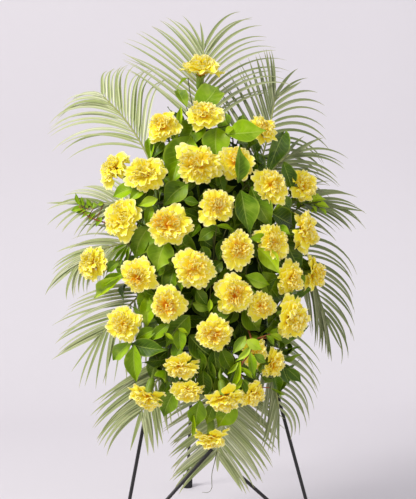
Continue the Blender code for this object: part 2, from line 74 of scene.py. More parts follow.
# --- node trees as expressions ---
class Wire:
    def __init__(self, graph, socket):
        self.graph = graph
        self.socket = socket

    def out(self, name):
        return Wire(self.graph, self.socket.node.outputs[name])

    def math(self, operation, *values, **settings):
        inputs = dict(enumerate(values))
        return self.graph.add("ShaderNodeMath", {"operation": operation, **settings}, inputs)

    def __neg__(self):
        return self.math("MULTIPLY", self, -1.0)

    def clamp(self):
        return self.math("MULTIPLY", self, 1.0, use_clamp=True)

    def floorModulo(self, step):
        return self.math("FLOORED_MODULO", self, step)

    def limit(self, low, high):
        return self.graph.add("ShaderNodeClamp", None, {0: self, 1: low, 2: high})


# a wire's sums, with the other value after or before it, and its functions of one value
def addMaths():
    def pair(operation, before):
        return lambda self, other: self.math(operation, *((other, self) if before else (self, other)))

    def single(operation):
        return lambda self: self.math(operation, self)

    for name, operation in (("add", "ADD"), ("sub", "SUBTRACT"), ("mul", "MULTIPLY"), ("truediv", "DIVIDE"),
                            ("pow", "POWER")):
        setattr(Wire, "__%s__" % name, pair(operation, False))
        setattr(Wire, "__r%s__" % name, pair(operation, True))
    for name, operation in (("sin", "SINE"), ("cos", "COSINE"), ("abs", "ABSOLUTE"), ("floor", "FLOOR")):
        setattr(Wire, name, single(operation))


addMaths()


class Graph:
    def __init__(self, tree):
        self.tree = tree

    # any node: its type, its settings, set first, and its sockets' values or links
    def add(self, kind, settings=None, inputs=None, output=0):
        node = self.tree.nodes.new(kind)
        for name, value in (settings or {}).items():
            if name == "stops":
                ramp = node.color_ramp.elements
                while len(ramp) < len(value):
                    ramp.new(0.5)
                for stop, (spot, colour) in zip(ramp, value):
                    stop.position = spot
                    stop.color = colour
            else:
                setattr(node, name, value)
        for name, value in (inputs or {}).items():
            if isinstance(value, Wire):
                self.tree.links.new(value.socket, node.inputs[name])
            else:
                node.inputs[name].default_value = value
        return Wire(self, node.outputs[output]) if len(node.outputs) else Wire(self, None)

    # colours may be given as codes
    def mixColour(self, share, low, high):
        low, high = (tint(end) if isinstance(end, str) else end for end in (low, high))
        return self.add("ShaderNodeMix", {"data_type": "RGBA"}, {0: share, 6: low, 7: high}, 2)

    # coats of colour laid over one another, each with how far it covers
    def coats(self, colour, *layers):
        for share, code in layers:
            colour = self.mixColour(share, colour, code)
        return colour

    def vector(self, x, y, z):
        return self.add("ShaderNodeCombineXYZ", None, {0: x, 1: y, 2: z})

    def noise(self, coordinates, scale, detail=3.0, roughness=0.55):
        values = {"Vector": coordinates, "Scale": scale, "Detail": detail, "Roughness": roughness}
        return self.add("ShaderNodeTexNoise", None, values, "Fac")

    def attribute(self, name):
        return self.add("ShaderNodeAttribute", {"attribute_name": name}, None, "Fac")

    def ramp(self, value, *stops):
        stops = [(spot, tint(code)) for spot, code in stops]
        return self.add("ShaderNodeValToRGB", {"stops": stops}, {"Fac": value}, "Color")

    # a vector's x, whose out("Y") and out("Z") are the others
    def split(self, vector):
        return self.add("ShaderNodeSeparateXYZ", None, {0: vector}, "X")

    def random(self, low, high, seed):
        return self.add("FunctionNodeRandomValue", {"data_type": "FLOAT"}, {2: low, 3: high, 8: seed}, 1)

    def store(self, geometry, name, value, **settings):
        return self.add("GeometryNodeStoreNamedAttribute", {"data_type": "FLOAT", **settings},
                        {"Geometry": geometry, "Name": name, "Value": value})

    def paint(self, geometry, material):
        return self.add("GeometryNodeSetMaterial", None, {"Geometry": geometry, "Material": material})

    def kinds(self, collection):
        return self.add("GeometryNodeCollectionInfo", None,
                        {"Collection": collection, "Separate Children": True, "Reset Children": True})

    def joinAll(self, *parts):
        joined = self.add("GeometryNodeJoinGeometry")
        for part in parts:
            self.tree.links.new(part.socket, joined.socket.node.inputs[0])
        return joined


def tint(code, alpha=1.0):
    parts = [int(code[spot:spot + 2], 16) / 255.0 for spot in (0, 2, 4)]
    return (*(part / 12.92 if part <= 0.04045 else ((part + 0.055) / 1.055) ** 2.4 for part in parts), alpha)


def newLook(name, **fixed):
    look = bpy.data.materials.new(name)
    look.use_nodes = True
    graph = Graph(look.node_tree)
    shader = look.node_tree.nodes["Principled BSDF"]
    for socket, value in fixed.items():
        shader.inputs[socket.replace("_", " ")].default_value = value
    return look, graph, shader


def feed(graph, shader, socket, wire):
    graph.tree.links.new(wire.socket, shader.inputs[socket])


def addBump(graph, shader, height, strength, distance):
    bump = graph.add("ShaderNodeBump", None, {"Strength": strength, "Distance": distance, "Height": height})
    feed(graph, shader, "Normal", bump)


def objectSpot(graph):
    return graph.add("ShaderNodeTexCoord", None, None, "Object")


# --- materials ---
def petalLook():
    # the petals glow faintly (Emission_Strength 0.08): painted light, standing in for light shining through
    # the petals and bouncing between them
    look, graph, shader = newLook("petalYellow", Roughness=0.6, Specular_IOR_Level=0.2,
                                  Subsurface_Weight=0.28, Subsurface_Radius=(1.0, 0.8, 0.15),
                                  Subsurface_Scale=0.004, Emission_Strength=0.08)
    along, across = graph.attribute("along"), graph.attribute("across")
    inner, tone = graph.attribute("inner"), graph.attribute("tone")
    blade = graph.ramp(along, (0.0, "D88A10"), (0.28, "EEC81A"), (0.50, "F5E730"),
                       (0.82, "FAF248"), (1.0, "FFFB9A"))
    # heart, warm and flecks: orange towards the petals' bases and in the heart, partly the petals' own deeper
    # colour and partly painted shade and bounced light in the creases between them
    heart = ((inner - 0.42) * 1.8).clamp() * graph.attribute("shade")
    warm = (heart * (1.0 - along) * 1.5 + (0.45 - along).clamp() * 1.6).clamp()
    flecks = heart * ((tone - 0.5) * 4.0).clamp() * ((1.0 - along) * 5.0).clamp()
    rim = ((along - 0.87) * 9.0).clamp()
    veins = (across * 34.0 + tone * 9.0).sin() * 0.5 + 0.5
    patch = graph.noise(objectSpot(graph), 120.0, 2.0)
    colour = graph.coats(blade, (warm * 0.85, "EE760E"), (flecks * 0.45, "F07412"), (rim * 0.65, "FFFBBC"),
                         (veins * 0.16, "EDBE24"), ((patch - 0.42) * 0.4, "FFF29C"))
    feed(graph, shader, "Base Color", colour)
    # the glow's colour turns orange where the warm mark is: painted light in the creases
    feed(graph, shader, "Emission Color", graph.mixColour(warm * 0.7, "FFDE2E", "FF9A1E"))
    addBump(graph, shader, veins + patch * 2.0, 0.35, 0.0006)
    return look


def stalkLook():
    look, graph, shader = newLook("stalkGreen", Roughness=0.5, Specular_IOR_Level=0.35)
    spot = objectSpot(graph)
    mottle = graph.noise(spot, 90.0, 3.0)
    along = graph.attribute("along")
    colour = graph.mixColour(mottle, "5A761C", "86A02E")
    colour = graph.mixColour((along - 0.6).clamp() * 1.2, colour, "A4B63C")
    feed(graph, shader, "Base Color", colour)
    addBump(graph, shader, mottle, 0.3, 0.0003)
    return look


def leafLook():
    look, graph, shader = newLook("leafGloss", Specular_IOR_Level=0.20)
    along, across, tone = (graph.attribute(name) for name in ("along", "across", "tone"))
    away = across.abs()
    spot = objectSpot(graph)
    cloud = graph.noise(spot, 38.0, 3.0)
    # the leaf's tone picks its colour from dark to light; the tones given leaf by leaf also paint shade on
    # leaves lying in shadow and highlights on lit ones
    colour = graph.ramp((tone * 0.75 + cloud * 0.35).clamp(), (0.0, "142800"), (0.30, "4E7000"),
                        (0.70, "90B604"), (1.0, "C0DA0E"))
    rib = (1.0 - away * 14.0).clamp()
    side = (along * 9.0 - away * 2.4).floorModulo(1.0)
    vein = (1.0 - ((side - 0.5).abs() * 9.0)).clamp() * (1.0 - away)
    # one half of each leaf is painted darker: painted shade, as if the light fell on the other half
    half = (across * 4.0 + 0.5).clamp()
    # sheen patches: painted highlight where the noise is high, painted shade where it is low, as light falls
    # on a glossy leaf
    sheen = graph.noise(spot, 26.0, 2.0)
    paintedHighlight, paintedShadePatch = ((sheen - 0.53) * 6.0).clamp(), ((0.47 - sheen) * 6.0).clamp()
    margin = ((away - 0.86) * 7.0).clamp()
    colour = graph.coats(colour, (half * 0.38, "2A4600"), (paintedHighlight * (tone * 0.5 + 0.15), "C4DA4C"),
                         (paintedShadePatch * 0.50, "223A00"), (rib * 0.55, "B4C85A"), (margin * 0.45, "B2C640"),
                         (vein * 0.38, "A8C23C"))
    feed(graph, shader, "Base Color", colour)
    feed(graph, shader, "Roughness", cloud * 0.22 + 0.24)
    addBump(graph, shader, cloud * 1.5 - vein * 0.8 - rib, 0.45, 0.0007)
    return look


def frondLook():
    look, graph, shader = newLook("frondLeaf", Specular_IOR_Level=0.4, Subsurface_Weight=0.10,
                                  Subsurface_Radius=(0.6, 1.0, 0.3), Subsurface_Scale=0.0015)
    along, across, tone = (graph.attribute(name) for name in ("along", "across", "tone"))
    spot = objectSpot(graph)
    streak = (across * 16.0 + tone * 6.0).sin() * 0.5 + 0.5
    cloud = graph.noise(spot, 30.0, 2.0)
    # pale is the lit copy of the frond colour; the next ramp is the copy painted in shade, darker and olive,
    # and the frond's share of painted shade mixes them
    pale = graph.ramp((tone * 0.8 + cloud * 0.4 - 0.1).clamp(), (0.0, "96A650"), (0.5, "D2D89E"),
                      (1.0, "F6F8D8"))
    frondShade = graph.ramp((tone * 0.6 + cloud * 0.4).clamp(), (0.0, "3E4222"), (0.5, "686C40"),
                      (1.0, "989A6C"))
    midline = (1.0 - across.abs() * 2.2).clamp()
    # one half of each leaflet is painted darker: painted shade across the V fold
    half = (across * 5.0 + 0.5).clamp()
    margin = ((across.abs() - 0.62) * 5.0).clamp()
    colour = graph.coats(graph.mixColour(graph.attribute("shade"), pale, frondShade), (streak * 0.2, "E6E8C8"),
                         (midline * 0.55, "5F7030"), (half * 0.35, "6C7A42"), (margin * 0.45, "56682C"),
                         ((along - 0.82).clamp() * 2.2, "B9AE6C"))
    feed(graph, shader, "Base Color", colour)
    feed(graph, shader, "Roughness", cloud * 0.2 + 0.36)
    addBump(graph, shader, streak, 0.3, 0.0003)
    return look


def twigLook(name, low, high):
    look, graph, shader = newLook(name, Roughness=0.6, Specular_IOR_Level=0.3)
    bark = graph.noise(objectSpot(graph), 160.0, 4.0)
    feed(graph, shader, "Base Color", graph.mixColour(bark, low, high))
    addBump(graph, shader, bark, 0.4, 0.0004)
    return look


def steelLook():
    look, graph, shader = newLook("satinBlackSteel", Metallic=0.25, Specular_IOR_Level=0.5, Coat_Weight=0.3,
                                  Coat_Roughness=0.25)
    spot = objectSpot(graph)
    grain = graph.noise(spot, 700.0, 3.0)
    wear = graph.noise(spot, 60.0, 5.0, 0.7)
    worn = ((wear - 0.66) * 9.0).clamp()
    feed(graph, shader, "Base Color", graph.mixColour(worn * 0.5, "171316", "4A4444"))
    feed(graph, shader, "Roughness", grain * 0.15 + worn * 0.15 + 0.30)
    addBump(graph, shader, grain, 0.2, 0.0002)
    return look


def rubberLook():
    look, graph, shader = newLook("footRubber", Specular_IOR_Level=0.35)
    grain = graph.noise(objectSpot(graph), 900.0, 3.0)
    feed(graph, shader, "Base Color", graph.mixColour(grain, "141415", "2B2A2C"))
    feed(graph, shader, "Roughness", grain * 0.2 + 0.65)
    addBump(graph, shader, grain, 0.4, 0.0003)
    return look


def trayLook():
    look, graph, shader = newLook("trayPlastic", Specular_IOR_Level=0.45)
    spot = objectSpot(graph)
    grain = graph.noise(spot, 500.0, 2.0)
    flow = graph.noise(spot, 18.0, 3.0)
    feed(graph, shader, "Base Color", graph.mixColour(flow, "1E3D22", "2C5230"))
    feed(graph, shader, "Roughness", flow * 0.15 + grain * 0.1 + 0.34)
    addBump(graph, shader, grain, 0.25, 0.0002)
    return look


def foamLook():
    look, graph, shader = newLook("wetFoam", Specular_IOR_Level=0.2)
    spot = objectSpot(graph)
    cells = graph.add("ShaderNodeTexVoronoi", None, {"Vector": spot, "Scale": 620.0}, "Distance")
    damp = graph.noise(spot, 22.0, 4.0)
    colour = graph.mixColour(damp, "1A2A0C", "2C4416")
    colour = graph.mixColour((0.5 - cells).clamp(), colour, "45602A")
    feed(graph, shader, "Base Color", colour)
    feed(graph, shader, "Roughness", damp * 0.25 + 0.68)
    addBump(graph, shader, cells, 0.6, 0.0008)
    return look


looks = {
    "petal": petalLook(), "stalk": stalkLook(), "leaf": leafLook(), "frond": frondLook(),
    "rachis": twigLook("frondRachis", "8B9450", "B7B97A"), "twig": twigLook("leafTwig", "3E4A1E", "6C6A34"),
    "redTwig": twigLook("sprigTwig", "7A4426", "B06A40"),
    "steel": steelLook(), "rubber": rubberLook(), "tray": trayLook(), "foam": foamLook(),
}
print("materials made")


# --- shapes made in code ---
marks = ("along", "across", "tone", "inner", "shade")


class Shape:
    def __init__(self):
        self.spots = []
        self.faces = []
        self.slots = []
        self.marks = {name: [] for name in marks}
        self.rims = set()

    def spot(self, point, **values):
        self.spots.append(Vector(point))
        for name in marks:
            self.marks[name].append(values.get(name, 0.0))
        return len(self.spots) - 1

    def face(self, corners, slot=0):
        self.faces.append(corners)
        self.slots.append(slot)

    def mesh(self, name, *materials):
        made = bpy.data.meshes.new(name)
        made.from_pydata(self.spots, [], self.faces)
        made.polygons.foreach_set("material_index", self.slots)
        for mark, values in self.marks.items():
            if not any(values):
                continue  # left to the instances
            made.attributes.new(mark, "FLOAT", "POINT").data.foreach_set("value", values)
        for material in materials:
            made.materials.append(material)
        made.shade_smooth()
        for edge in made.edges:
            edge.use_edge_sharp = tuple(sorted(edge.vertices)) in self.rims
        made.update()
        return made

    # adds another shape through a matrix, with some marks set anew
    def join(self, other, matrix, **values):
        first = len(self.spots)
        for number, point in enumerate(other.spots):
            self.spots.append(matrix @ point)
            for name in marks:
                self.marks[name].append(values.get(name, other.marks[name][number]))
        for corners, own in zip(other.faces, other.slots):
            self.face([corner + first for corner in corners], own)
        self.rims.update((low + first, high + first) for low, high in other.rims)

    # a closed thin blade: two sheets over one grid of points that share their outline
    def blade(self, rows, columns, spotAt, thickness):
        near = 0.01
        sheets = []
        for side in (0.5, -0.5):
            grid = []
            for row in range(rows + 1):
                line = []
                for column in range(columns + 1):
                    rim = row in (0, rows) or column in (0, columns)
                    if rim and side < 0:
                        line.append(sheets[0][row][column])
                        continue
                    along, across = row / rows, 2.0 * column / columns - 1.0
                    point = spotAt(along, across)
                    if not rim:
                        ahead = spotAt(along + near, across) - spotAt(along - near, across)
                        aside = spotAt(along, across + near) - spotAt(along, across - near)
                        point = point + aside.cross(ahead).normalized() * thickness * side
                    line.append(self.spot(point, along=along, across=across))
                grid.append(line)
            sheets.append(grid)
        sides = [line[0] for line in grid], [line[-1] for line in grid], grid[0], grid[-1]
        self.rims.update(tuple(sorted(pair)) for side in sides for pair in zip(side, side[1:]))
        for number, grid in enumerate(sheets):
            for row in range(rows):
                for column in range(columns):
                    corners = [grid[row][column], grid[row][column + 1], grid[row + 1][column + 1],
                               grid[row + 1][column]]
                    self.face(corners if number == 0 else corners[::-1])

    # a rod with closed ends; radii is one radius or one for each point
    def tube(self, points, radii, sides, slot=0):
        points = [Vector(point) for point in points]
        count = len(points)
        frameUp = None
        rings = []
        for number, point in enumerate(points):
            run = (points[min(number + 1, count - 1)] - points[max(number - 1, 0)]).normalized()
            if frameUp is None:
                frameUp = run.orthogonal().normalized()
            frameUp = (frameUp - run * frameUp.dot(run)).normalized()
            aside = run.cross(frameUp)
            radius = radii[number] if isinstance(radii, (list, tuple)) else radii
            rings.append([self.spot(point + (frameUp * cos(2 * pi * k / sides)
                                             + aside * sin(2 * pi * k / sides)) * radius,
                                    along=number / (count - 1), across=k / sides) for k in range(sides)])
        for lower, upper in zip(rings, rings[1:]):
            for k in range(sides):
                ahead = (k + 1) % sides
                self.face([lower[k], lower[ahead], upper[ahead], upper[k]], slot)
        self.face(rings[0][::-1], slot)
        self.face(rings[-1], slot)


def smooth(low, high, value):
    share = min(1.0, max(0.0, (value - low) / (high - low)))
    return share * share * (3.0 - 2.0 * share)


# a smooth path through a few points
def bend(points, count):
    points = [Vector(point) for point in points]
    path = []
    for number in range(len(points) - 1):
        before = points[max(number - 1, 0)]
        start, end = points[number], points[number + 1]
        after = points[min(number + 2, len(points) - 1)]
        for step in range(count):
            t = step / count
            path.append(0.5 * (2 * start + (end - before) * t
                               + (2 * before - 5 * start + 4 * end - after) * t ** 2
                               + (3 * start - before - 3 * end + after) * t ** 3))
    path.append(points[-1])
    return path


# radii along a path that shrink from the start's share of a radius
def taper(path, radius, start, loss):
    return [radius * (start - loss * k / len(path)) for k in range(len(path))]


def addObject(name, mesh, collection=None):
    made = bpy.data.objects.new(name, mesh)
    (collection or bpy.context.collection).objects.link(made)
    return made


# a collection that only node trees read
def templateStore(name, shapes, *materials):
    store = bpy.data.collections.new(name + "Store")
    for number, shape in enumerate(shapes):
        label = "%s%02d" % (name, number)
        addObject(label, shape.mesh(label, *materials), store)
    return store


def newTree(name, *inputs):
    tree = bpy.data.node_groups.new(name, "GeometryNodeTree")
    tree.interface.new_socket("Geometry", in_out="INPUT", socket_type="NodeSocketGeometry")
    for label, kind in inputs:
        tree.interface.new_socket(label, in_out="INPUT", socket_type="NodeSocket" + kind)
    tree.interface.new_socket("Geometry", in_out="OUTPUT", socket_type="NodeSocketGeometry")
    graph = Graph(tree)
    return graph, graph.add("NodeGroupInput")


def endTree(graph, geometry):
    graph.add("NodeGroupOutput", None, {0: geometry}, 0)


# the plain mesh that a tree makes from a starting mesh or curve
def runTree(name, tree, start, values):
    made = addObject(name, start)
    step = made.modifiers.new("make", "NODES")
    step.node_group = tree
    for item in tree.interface.items_tree:
        if item.in_out == "INPUT" and item.name in values:
            step[item.identifier] = values[item.name]
    seen = made.evaluated_get(bpy.context.evaluated_depsgraph_get())
    mesh = bpy.data.meshes.new_from_object(seen)
    mesh.name = name
    bpy.data.objects.remove(made)
    return mesh


def addPiece(name, mesh, slot, *replaced, body="front_frame"):
    made = addObject(name, mesh)
    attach(made, body)
    if replaced:
        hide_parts(*replaced)
    return made


# --- carnation petals ---
# half width, ruffle and cup in petal lengths, waves across, reflex of the tip, depth of the teeth, roundness
petalKinds = {
    "broad": ((0.44, 0.075, 0.08, 1.7, 0.24, 0.016, 0.34), (0.50, 0.085, 0.05, 2.2, 0.18, 0.018, 0.30),
              (0.38, 0.065, 0.10, 1.4, 0.32, 0.014, 0.36)),
    "middle": ((0.42, 0.120, 0.06, 2.3, 0.20, 0.024, 0.26), (0.37, 0.135, 0.04, 2.8, 0.14, 0.028, 0.24),
               (0.45, 0.110, 0.08, 2.0, 0.26, 0.022, 0.28)),
    "inner": ((0.34, 0.150, 0.05, 2.7, 0.12, 0.030, 0.22), (0.30, 0.165, 0.04, 3.2, 0.04, 0.034, 0.20),
              (0.37, 0.140, 0.08, 2.3, 0.18, 0.028, 0.24)),
}
petal = {"rows": 6, "columns": 16, "thickness": 0.014, "claw": 0.10, "scallop": 0.11}


def petalShape(kind, seed):
    halfWidth, ruffle, cup, waves, reflex, teeth, rounded = kind
    chance = Random(seed)
    phase, second = chance.uniform(0, 2 * pi), chance.uniform(0, 2 * pi)
    jags = [chance.uniform(0.2, 1.0) for _ in range(petal["columns"] + 1)]
    lobes, shift = chance.uniform(1.2, 1.9), chance.uniform(0.0, 1.0)

    def spotAt(along, across):
        width = halfWidth * (petal["claw"] + (1 - petal["claw"]) * smooth(0.10, 0.78, along))
        width *= 1 - 0.10 * smooth(0.86, 1.0, along)
        grown = smooth(0.22, 1.0, along)
        reach = along * (1 - rounded * abs(across) ** 2.4 * smooth(0.3, 1.0, along))
        column = int(round((across + 1) * petal["columns"] / 2)) % len(jags)
        scallop = (1.0 - abs(sin(pi * (lobes * across + shift)))) ** 2
        reach -= (teeth * jags[column] + petal["scallop"] * scallop) * smooth(0.66, 1.0, along)
        wave = sin(waves * pi * across + phase) + 0.45 * sin(2.3 * waves * pi * across + second + 2.0 * along)
        lift = ruffle * grown * wave * (0.55 + 0.45 * abs(across)) + cup * across ** 2 * along
        lift -= reflex * smooth(0.25, 1.0, along) ** 1.5
        return Vector((across * width, -lift, reach))

    shape = Shape()
    shape.blade(petal["rows"], petal["columns"], spotAt, petal["thickness"])
    return shape


petalStore = templateStore("petal", [petalShape(kind, 11 * number + copy) for number, kinds in
                                     enumerate(petalKinds.values()) for copy, kind in enumerate(kinds)])


# --- carnation heads: petals on a golden spiral, opening from the middle outwards ---
goldenAngle = 2.39996
# lengths in metres, but spread, size, shrink, ring, loose, rise and seat in head radii; tilts in radians;
# the calyx's points by their height and their spread in calyx radii, and its rings by place and width
head = {"petals": 40, "middleTilt": 0.24, "rimTilt": 1.46, "rimVaries": (-0.12, 0.20), "spread": 0.90,
        "size": 1.06, "shrink": 0.24, "ring": 0.07, "loose": 0.16, "rise": 0.10, "seat": 0.44, "warmth": 0.45,
        "calyxRadius": 0.0068, "calyxLength": 0.024, "calyxSides": 10, "points": (0.006, 1.5), "floor": 0.001,
        "calyxRings": ((0.0, 0.45), (0.08, 0.78), (0.35, 1.0), (0.70, 0.98), (1.0, 1.12))}
# how far petals differ from one another, angles in radians and the others as shares
petalVaries = {"spin": (-0.35, 0.35), "tilt": (-0.15, 0.15), "size": (0.74, 1.15), "width": (0.86, 1.14),
               "roll": (-0.22, 0.22), "twist": (-0.8, 0.8), "tone": (0.0, 1.0), "loose": (-1.0, 1.0)}


def headTree():
    graph, given = newTree("carnationHead", ("Petals", "Int"), ("Radius", "Float"), ("Oval", "Float"),
                           ("Warmth", "Float"), ("Middle tilt", "Float"), ("Rim tilt", "Float"),
                           ("Seed", "Int"), ("Place", "Vector"), ("Turn", "Vector"),
                           ("Petal kinds", "Collection"), ("Material", "Material"))
    petals, radius, seed = given.out("Petals"), given.out("Radius"), given.out("Seed")
    points = graph.add("GeometryNodePoints", None, {"Count": petals})
    index = graph.add("GeometryNodeInputIndex")
    share = index / (petals - 1.0)

    def chance(low, high, offset):
        return graph.random(low, high, seed * 7 + offset)

    spin = index * goldenAngle + chance(*petalVaries["spin"], 1)
    tilt = given.out("Rim tilt") + (given.out("Middle tilt") - given.out("Rim tilt")) * share ** 0.80
    tilt = tilt + chance(*petalVaries["tilt"], 2) * (1.0 + share)
    size = radius * (head["size"] - share * head["shrink"]) * chance(*petalVaries["size"], 3)
    ring = radius * head["ring"] * (1.0 - share)
    loose = radius * share * head["loose"]
    spot = graph.vector(loose * chance(*petalVaries["loose"], 9) - ring * spin.sin(),
                        loose * chance(*petalVaries["loose"], 10) + ring * spin.cos(),
                        radius * (share * head["rise"] - head["seat"]))
    points = graph.add("GeometryNodeSetPosition", None, {"Geometry": points, "Position": spot})
    # three kinds from the rim to the middle, with three copies of each
    kind = (share * 3.2 - 0.05).limit(0.0, 2.99).floor() * 3.0 + chance(0.0, 2.99, 4).floor()
    picked = graph.kinds(given.out("Petal kinds"))
    width = chance(*petalVaries["width"], 5)
    placed = graph.add("GeometryNodeInstanceOnPoints", None,
                       {"Points": points, "Instance": picked, "Pick Instance": True, "Instance Index": kind,
                        "Rotation": graph.vector(-tilt, chance(*petalVaries["roll"], 6), spin),
                        "Scale": graph.vector(size * width, size, size)})
    twist = graph.vector(0.0, 0.0, chance(*petalVaries["twist"], 7) * share)
    placed = graph.add("GeometryNodeRotateInstances", None, {"Instances": placed, "Rotation": twist})
    tone = chance(*petalVaries["tone"], 8)
    for name, value in (("inner", share), ("tone", tone), ("shade", given.out("Warmth"))):
        placed = graph.store(placed, name, value, domain="INSTANCE")
    petals = graph.add("GeometryNodeRealizeInstances", None, {"Geometry": placed})
    petals = graph.paint(petals, given.out("Material"))
    petals = graph.add("GeometryNodeTransform", None,
                       {"Geometry": petals, "Translation": given.out("Place"), "Rotation": given.out("Turn"),
                        "Scale": graph.vector(1.0, given.out("Oval"), 1.0)})
    endTree(graph, graph.joinAll(petals, given.out("Geometry")))
    return graph.tree


# across, up, diameter, and how far it stands out of the dome
carnations = {
    "01": (-0.009, 0.890, 0.092, 0.000), "02": (-0.096, 0.747, 0.068, 0.000),
    "03": (-0.023, 0.764, 0.070, 0.004), "04": (0.087, 0.743, 0.064, 0.000),
    "05": (-0.185, 0.681, 0.068, -0.006), "06": (-0.131, 0.656, 0.082, 0.006),
    "07": (-0.040, 0.666, 0.094, 0.004), "08": (0.032, 0.676, 0.070, -0.012),
    "09": (0.092, 0.633, 0.074, 0.004), "10": (0.168, 0.658, 0.070, -0.004),
    "11": (-0.174, 0.582, 0.078, 0.004), "12": (-0.094, 0.558, 0.086, 0.004),
    "13": (-0.012, 0.591, 0.068, 0.000), "14": (0.155, 0.560, 0.077, 0.004),
    "15": (0.087, 0.532, 0.068, 0.000), "16": (0.020, 0.514, 0.067, 0.000),
    "17": (-0.222, 0.521, 0.070, 0.000), "18": (-0.149, 0.477, 0.072, 0.004),
    "19": (-0.056, 0.482, 0.074, 0.004), "20": (0.180, 0.493, 0.064, 0.000),
    "21": (0.121, 0.471, 0.062, -0.004), "22": (-0.101, 0.425, 0.063, 0.000),
    "23": (0.014, 0.439, 0.066, 0.000), "24": (0.062, 0.421, 0.056, -0.008),
    "25": (0.121, 0.401, 0.076, 0.004), "26": (-0.172, 0.400, 0.066, 0.000),
    "27": (-0.023, 0.373, 0.070, 0.000), "28": (-0.080, 0.321, 0.068, 0.004),
    "29": (0.050, 0.343, 0.054, -0.010), "30": (0.088, 0.328, 0.058, -0.012),
    "31": (-0.134, 0.278, 0.068, 0.000), "32": (-0.068, 0.282, 0.062, 0.000),
    "33": (-0.006, 0.265, 0.070, 0.004), "34": (0.047, 0.275, 0.056, 0.000),
    "35": (-0.023, 0.206, 0.064, 0.000),
}
twins = {"05": "06", "10": "09", "14": "15", "20": "21", "25": "24", "28": "32", "34": "33"}
# where a head looks if not straight out of the dome, as (across, up, out)
turned = {
    "01": (0.05, 0.85, 0.62), "05": (-0.75, 0.2, 0.6), "10": (0.6, 0.2, 0.7), "17": (-0.8, 0.05, 0.55),
    "26": (-0.5, -0.35, 0.7), "28": (-0.1, -0.75, 0.5), "29": (0.4, -0.35, 0.75), "30": (0.7, -0.4, 0.4),
    "31": (-0.35, -1.0, 0.05), "32": (-0.1, -0.9, 0.45), "33": (0.1, -1.0, 0.1), "34": (0.4, -0.7, 0.3),
    "35": (0.0, -1.0, -0.05),
}
# height to width of the heads that are not round
oval = {
    "01": 0.70, "03": 0.90, "06": 0.86, "07": 0.90, "12": 0.85, "18": 0.86, "19": 0.92, "23": 1.06,
    "27": 0.84, "28": 0.74, "32": 0.70,
}
# how orange the middle is, where not as on most: partly the petals' own colour, partly painted shade in the
# creases
warmth = {
    "17": 0.1, "01": 0.2, "02": 0.6, "05": 0.1, "06": 0.2, "07": 0.5, "08": 0.7, "11": 0.1, "12": 0.8,
    "13": 0.8, "16": 0.9, "18": 0.8, "19": 0.8, "22": 1.0, "23": 1.0, "24": 0.8, "27": 0.9,
}
# heads that open less far: the tilt of their rim petals
closer = {"01": 1.15}
dome = {"across": -0.020, "up": 0.540, "halfWidth": 0.205, "halfHeight": 0.345, "rim": 0.085, "rise": 0.150,
        "droop": -9.0, "middleTurn": 6.0, "rimTurn": 80.0}


def domeSpread(across, up):
    return hypot((across - dome["across"]) / dome["halfWidth"], (up - dome["up"]) / dome["halfHeight"])


def domeOut(across, up):
    return dome["rim"] + dome["rise"] * sqrt(max(0.0, 1.0 - min(1.0, domeSpread(across, up)) ** 2))


def facing(across, up):
    side = Vector(((across - dome["across"]) / dome["halfWidth"], (up - dome["up"]) / dome["halfHeight"]))
    turn = radians(dome["middleTurn"] + (dome["rimTurn"] - dome["middleTurn"]) * min(1.0, side.length) ** 2.4)
    side.normalize()
    droop = radians(dome["droop"])
    outward = heading(0.0, sin(droop), cos(droop)) * cos(turn) + heading(side.x, side.y, 0.0) * sin(turn)
    return outward.normalized()


foam = {"halfWidth": 0.085, "halfHeight": 0.165, "back": 0.0075, "front": 0.112, "middleUp": 0.540}


# stems in metres, but the root's across and up as shares of the head's own
stem = {"radius": 0.0022, "sides": 7, "inFoam": 0.022, "rootAcross": 0.42, "rootUp": 0.44, "rootOut": 0.055,
        "aim": 0.05, "clear": 0.004, "fork": 0.008, "forkRun": 0.02, "neck": 0.012, "inCalyx": 0.002}


# where a straight stem from inside the foam leaves it, in the leaning plane's own axes
def foamExit(inside, direction):
    low = Vector((-foam["halfWidth"], -foam["front"], foam["middleUp"] - foam["halfHeight"]))
    high = Vector((foam["halfWidth"], -foam["back"], foam["middleUp"] + foam["halfHeight"]))
    reach = [((high if direction[axis] > 0 else low)[axis] - inside[axis]) / direction[axis]
             for axis in range(3) if abs(direction[axis]) > 1e-6]
    return inside + direction * min(reach)


def stemStart(target):
    local = toWorld.inverted() @ target
    rootUp = foam["middleUp"] + stem["rootUp"] * (local.z - foam["middleUp"])
    root = Vector((stem["rootAcross"] * local.x, -stem["rootOut"], rootUp))
    direction = (local - root).normalized()
    leave = foamExit(root, direction)
    end = leave - direction * min(stem["inFoam"], (leave - root).length)
    return toWorld @ end, toWorld @ leave, toWorld.to_3x3() @ direction


def headSpot(key):
    across, up, diameter, lift = carnations[key]
    face = heading(*turned[key]) if key in turned else facing(across, up)
    return place(across, up, domeOut(across, up) + lift), face, diameter / 2


